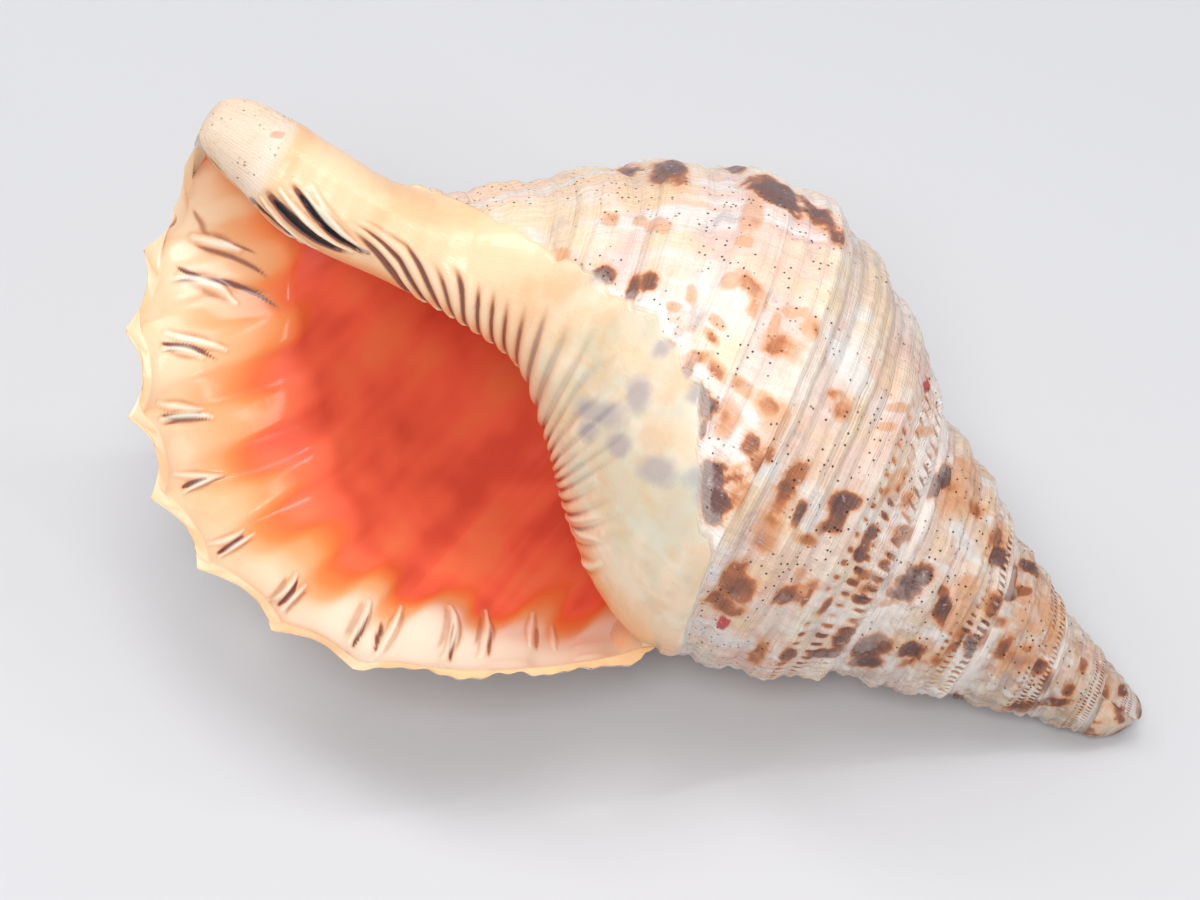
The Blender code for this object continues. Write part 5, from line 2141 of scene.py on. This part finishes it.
SPOTS = tuple(Spot(*row) for row in (
    (-0.8271, 1.247, 0.0147, 0.047, 1, -0.319), (-0.8488, 1.247, 0.0129, 0.02, 1, -0.244),
    (-0.8352, 1.191, 0.0108, 0.022, 1, -0.236), (-0.7891, 1.197, 0.0157, 0.024, 1, 0.061),
    (-0.8271, 1.122, 0.0124, 0.028, 1, -0.232), (-0.7511, 1.197, 0.0105, 0.018, 1, -0.234),
    (-0.6344, 1.897, 0.0242, 0.0098, 2, -1.825), (-0.4959, 1.309, 0.0303, 0.031, 0.9, -0.407),
    (-0.5421, 1.266, 0.0407, 0.029, 0.85, 0.228), (-0.5258, 1.159, 0.028, 0.015, 0.7, 0.859),
    (-0.5855, 1.109, 0.0184, 0.048, 1, 0.146), (-0.5964, 1.028, 0.0169, 0.037, 0.95, 0.339),
    (-0.6751, 1.416, 0.012, 0.017, 0.15, 0.384), (-0.6262, 1.353, 0.0108, 0.012, 0.1, -0.071),
    (-0.6289, 1.309, 0.0071, 0.012, 0.1, 0.231), (-0.6398, 1.278, 0.0079, 0.019, 0.08, 0.28),
    (-0.7022, 1.341, 0.0132, 0.019, 0.95, -0.08), (-0.7076, 1.284, 0.0149, 0.013, 0.9, 0.505),
    (-0.7022, 1.259, 0.0091, 0.016, 0.85, 0.087), (-0.7022, 1.191, 0.0071, 0.01, 0.2, 0.297),
    (-0.7158, 1.209, 0.0043, 0.011, 0.1, -0.173), (-0.6181, 1.141, 0.0243, 0.015, 0.03, 0.061),
    (-0.6506, 1.141, 0.0057, 0.013, 0.08, 0.009), (-0.6859, 1.141, 0.0069, 0.014, 0.2, -0.147),
    (-0.6859, 1.109, 0.007, 0.025, 0.3, 0.184), (-0.6968, 1.097, 0.007, 0.009, 0.3, 0.071),
    (-0.7185, 1.134, 0.0037, 0.014, 0.2, 0.196), (-0.7294, 1.134, 0.0036, 0.014, 0.15, 0.177),
    (-0.6859, 1.034, 0.0045, 0.026, 0.15, -0.157), (-0.7022, 1.059, 0.0093, 0.007, 0.2, 0.099),
    (-0.6914, 1.009, 0.0101, 0.017, 0.25, 0.075), (-0.7131, 1.034, 0.0084, 0.03, 0.45, -0.094),
    (-0.7456, 1.141, 0.0046, 0.019, 0.3, -0.156), (-0.7484, 1.109, 0.0053, 0.02, 0.4, 0.151),
    (-0.7565, 1.147, 0.0068, 0.009, 0.3, 0.537), (-0.7484, 1.066, 0.0048, 0.02, 0.4, 0.042),
    (-0.7511, 1.022, 0.0065, 0.026, 0.35, 0.104), (-0.7565, 0.987, 0.0118, 0.028, 0.25, 0.047),
    (-0.7674, 1.116, 0.0095, 0.022, 0.95, -0.024), (-0.7728, 1.097, 0.0105, 0.014, 0.9, 0.088),
    (-0.7836, 1.091, 0.006, 0.007, 0.8, 0.866), (-0.7728, 1.066, 0.0119, 0.016, 0.35, 0.11),
    (-0.7158, 0.79, 0.0042, 0.049, 0.25, -0.025), (-0.7212, 0.746, 0.0083, 0.041, 0.4, -0.011),
    (-0.7782, 1.022, 0.0074, 0.014, 0.6, 0.022), (-0.7836, 1.003, 0.009, 0.017, 0.35, 0.088),
    (-0.7755, 0.978, 0.0067, 0.032, 0.3, -0.014), (-0.8078, 1.053, 0.0125, 0.028, 1, -0.187),
    (-0.7999, 1.022, 0.0051, 0.021, 0.6, -0.273), (-0.8196, 1.034, 0.0125, 0.028, 0.9, 0.08),
    (-0.8271, 1.022, 0.0072, 0.011, 0.8, 0.107), (-0.7972, 1.028, 0.0054, 0.017, 0.3, -0.462),
    (-0.8054, 1.003, 0.0111, 0.021, 0.25, -0.01), (-0.7782, 0.817, 0.0117, 0.05, 0.4, -0.095),
    (-0.7945, 0.817, 0.0177, 0.07, 0.55, 0.076), (-0.8162, 0.808, 0.0168, 0.071, 0.5, 0.045),
    (-0.7701, 0.496, 0.0094, 0.077, 0.7, -0.079), (-0.7836, 0.504, 0.0141, 0.061, 0.65, -0.051),
    (-0.7918, 0.522, 0.0077, 0.051, 0.6, -0.112), (-0.7782, 0.281, 0.0105, 0.054, 0.9, -0.034),
    (-0.7972, 0.29, 0.0082, 0.046, 0.9, -0.021), (-0.7891, 0.281, 0.0132, 0.045, 0.75, -0.059),
    (-0.7972, 0.71, 0.0126, 0.032, 0.8, 0.009), (-0.8108, 0.612, 0.0054, 0.066, 0.7, -0.009),
    (-0.8651, 0.844, 0.0176, 0.068, 0.6, -0.008), (-0.8678, 0.79, 0.0124, 0.071, 0.75, -0.037),
    (-0.8867, 0.871, 0.0099, 0.069, 0.55, -0.036), (-0.8898, 0.799, 0.0099, 0.086, 0.55, -0.034),
    (-0.9078, 0.763, 0.0073, 0.0273, 2, -0.073), (-0.8515, 0.504, 0.0112, 0.084, 0.6, -0.11),
    (-0.8379, 0.54, 0.0081, 0.035, 0.35, 0.006), (-1.7972, 0.853, 0.0239, 0.128, 1, -0.096),
    (-1.8135, 0.879, 0.0127, 0.134, 0.95, -0.053), (-1.8298, 0.933, 0.0072, 0.103, 0.4, -0.087),
    (-0.8542, 0.326, 0.013, 0.042, 0.9, -0.08), (-0.8515, 0.451, 0.0128, 0.019, 0.8, -0.033),
    (-0.8352, 0.121, 0.0058, 0.088, 0.95, -0.027), (-1.9018, 0.871, 0.0264, 0.159, 0.85, -0.05),
    (-1.9272, 0.835, 0.0198, 0.12, 0.75, -0.091), (-1.8786, 0.558, 0.017, 0.127, 0.75, -0.036),
    (-1.9032, 0.54, 0.0147, 0.072, 0.4, -0.155), (-1.7999, 0.522, 0.0201, 0.078, 0.9, 0.094),
    (-1.7836, 0.576, 0.0088, 0.057, 0.6, -0.011), (-1.8488, 0.272, 0.0191, 0.076, 0.4, -0.11),
    (-1.8759, 0.344, 0.0129, 0.111, 0.4, -0.007), (-0.9423, 0.504, 0.0268, 0.045, 0.45, 0.117),
    (-0.9212, 0.362, 0.0166, 0.047, 0.8, 0.07), (-0.9168, 0.156, 0.0131, 0.106, 0.75, -0.039),
    (-0.8808, 0.103, 0.0201, 0.071, 0.75, -0.077), (-0.6859, 0.46, 0.0043, 0.058, 0.12, -0.128),
    (-0.7049, 0.478, 0.0041, 0.044, 0.12, -0.107), (-0.6696, 0.21, 0.0054, 0.057, 0.15, -0.169),
    (-0.7294, 0.281, 0.0115, 0.065, 0.35, -0.191), (-1.6914, 0.996, 0.017, 0.081, 0.75, -0.091),
    (-0.7538, 0.031, 0.0089, 0.152, 0.6, -0.083), (-1.6615, 0.897, 0.0193, 0.075, 0.95, -0.128),
    (-1.6561, 0.71, 0.0483, 0.166, 0.12, -0.162), (-1.6642, 0.585, 0.015, 0.119, 0.35, -0.04),
    (-0.6534, 0.022, 0.0055, 0.083, 0.3, -0.198), (-0.6262, 0.263, 0.007, 0.026, 2, -0.283),
    (-1.6859, 0.237, 0.0183, 0.087, 0.9, -0.115), (-1.6615, 0.29, 0.0264, 0.118, 0.4, -0.161),
    (-2.6832, 0.991, 0.0382, 0.103, 0.6, -0.019), (-2.7158, 0.973, 0.0121, 0.126, 0.8, -0.104),
    (-2.6832, 0.759, 0.0134, 0.127, 0.7, -0.115), (-2.6235, 0.741, 0.0195, 0.193, 0.75, -0.065),
    (-1.7538, 0.112, 0.0227, 0.117, 0.45, -0.011), (-2.7674, 0.955, 0.0116, 0.139, 0.5, -0.077),
    (-2.8054, 0.777, 0.0367, 0.101, 0.6, -0.073), (-2.8054, 0.562, 0.0369, 0.28, 0.22, -0.114),
    (-2.6968, 0.562, 0.0603, 0.215, 0.1, -0.07), (-2.7782, 0.491, 0.0216, 0.099, 0.5, -0.092),
    (-2.7972, 0.241, 0.0264, 0.1, 0.7, -0.019), (-2.9978, 0.973, 0.0412, 0.15, 0.75, 0.129),
    (-2.9423, 0.17, 0.0432, 0.205, 0.7, -0.102), (-2.8271, 0.027, 0.0428, 0.097, 0.6, -0.032),
    (-3.8081, 0.634, 0.0322, 0.138, 0.7, -0.024), (-3.8651, 0.723, 0.0214, 0.281, 0.7, -0.098),
    (-3.7131, 0.527, 0.0362, 0.096, 0.5, -0.016), (-4.7294, 0.955, 0.0584, 0.21, 0.5, -0.066),
    (-4.6696, 0.455, 0.0407, 0.157, 0.6, -0.138), (-4.7402, 0.295, 0.0111, 0.1092, 2, -0.096),
    (-1.8352, 0.129, 0.0217, 0.073, 0.75, 0.014), (-0.7918, 0.129, 0.0058, 0.047, 0.7, -0.014),
    (-0.8108, 0.192, 0.0064, 0.055, 0.35, -0.061), (-0.8216, 0.129, 0.0071, 0.065, 0.35, -0.084),
    (-0.7321, 0.165, 0.0087, 0.034, 0.4, -0.1), (-1.8244, 0.272, 0.0154, 0.065, 0.3, -0.001),
    (-2.7239, 0.223, 0.0391, 0.132, 0.15, 0.014), (-1.7619, 0.424, 0.0186, 0.07, 0.15, -0.021),
    (-1.7945, 0.362, 0.0175, 0.117, 0.12, -0.112), (-1.8108, 0.022, 0.0216, 0.094, 0.3, -0.015),
))


def main() -> None:
    """Build the shell's pieces around the frame, then the room."""
    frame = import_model()
    logging.basicConfig(level=logging.INFO, format="%(message)s")
    LOG.info("nodes of the frame: %s", sorted(frame["nodes"]))
    bpy.context.scene.view_settings.view_transform = "Standard"
    shell = Shell(markings=Markings(teeth=TEETH, folds=FOLDS, spots=SPOTS))
    skin, glaze = SkinTones().group(), GlazeTones().group()
    outer = ShellFinish(name="shell_finish", skin=skin, glaze=glaze).material()
    inner = ApertureFinish(name="aperture_finish", glaze=glaze).material()
    shell.spire(outer)
    edge, border = shell.body(outer)
    shell.columella(outer, edge, border)
    shell.lip(inner, edge)
    shell.throat(inner)
    room = Room()
    room.floor()
    room.light()
    room.camera()


if __name__ == "__main__":
    main()
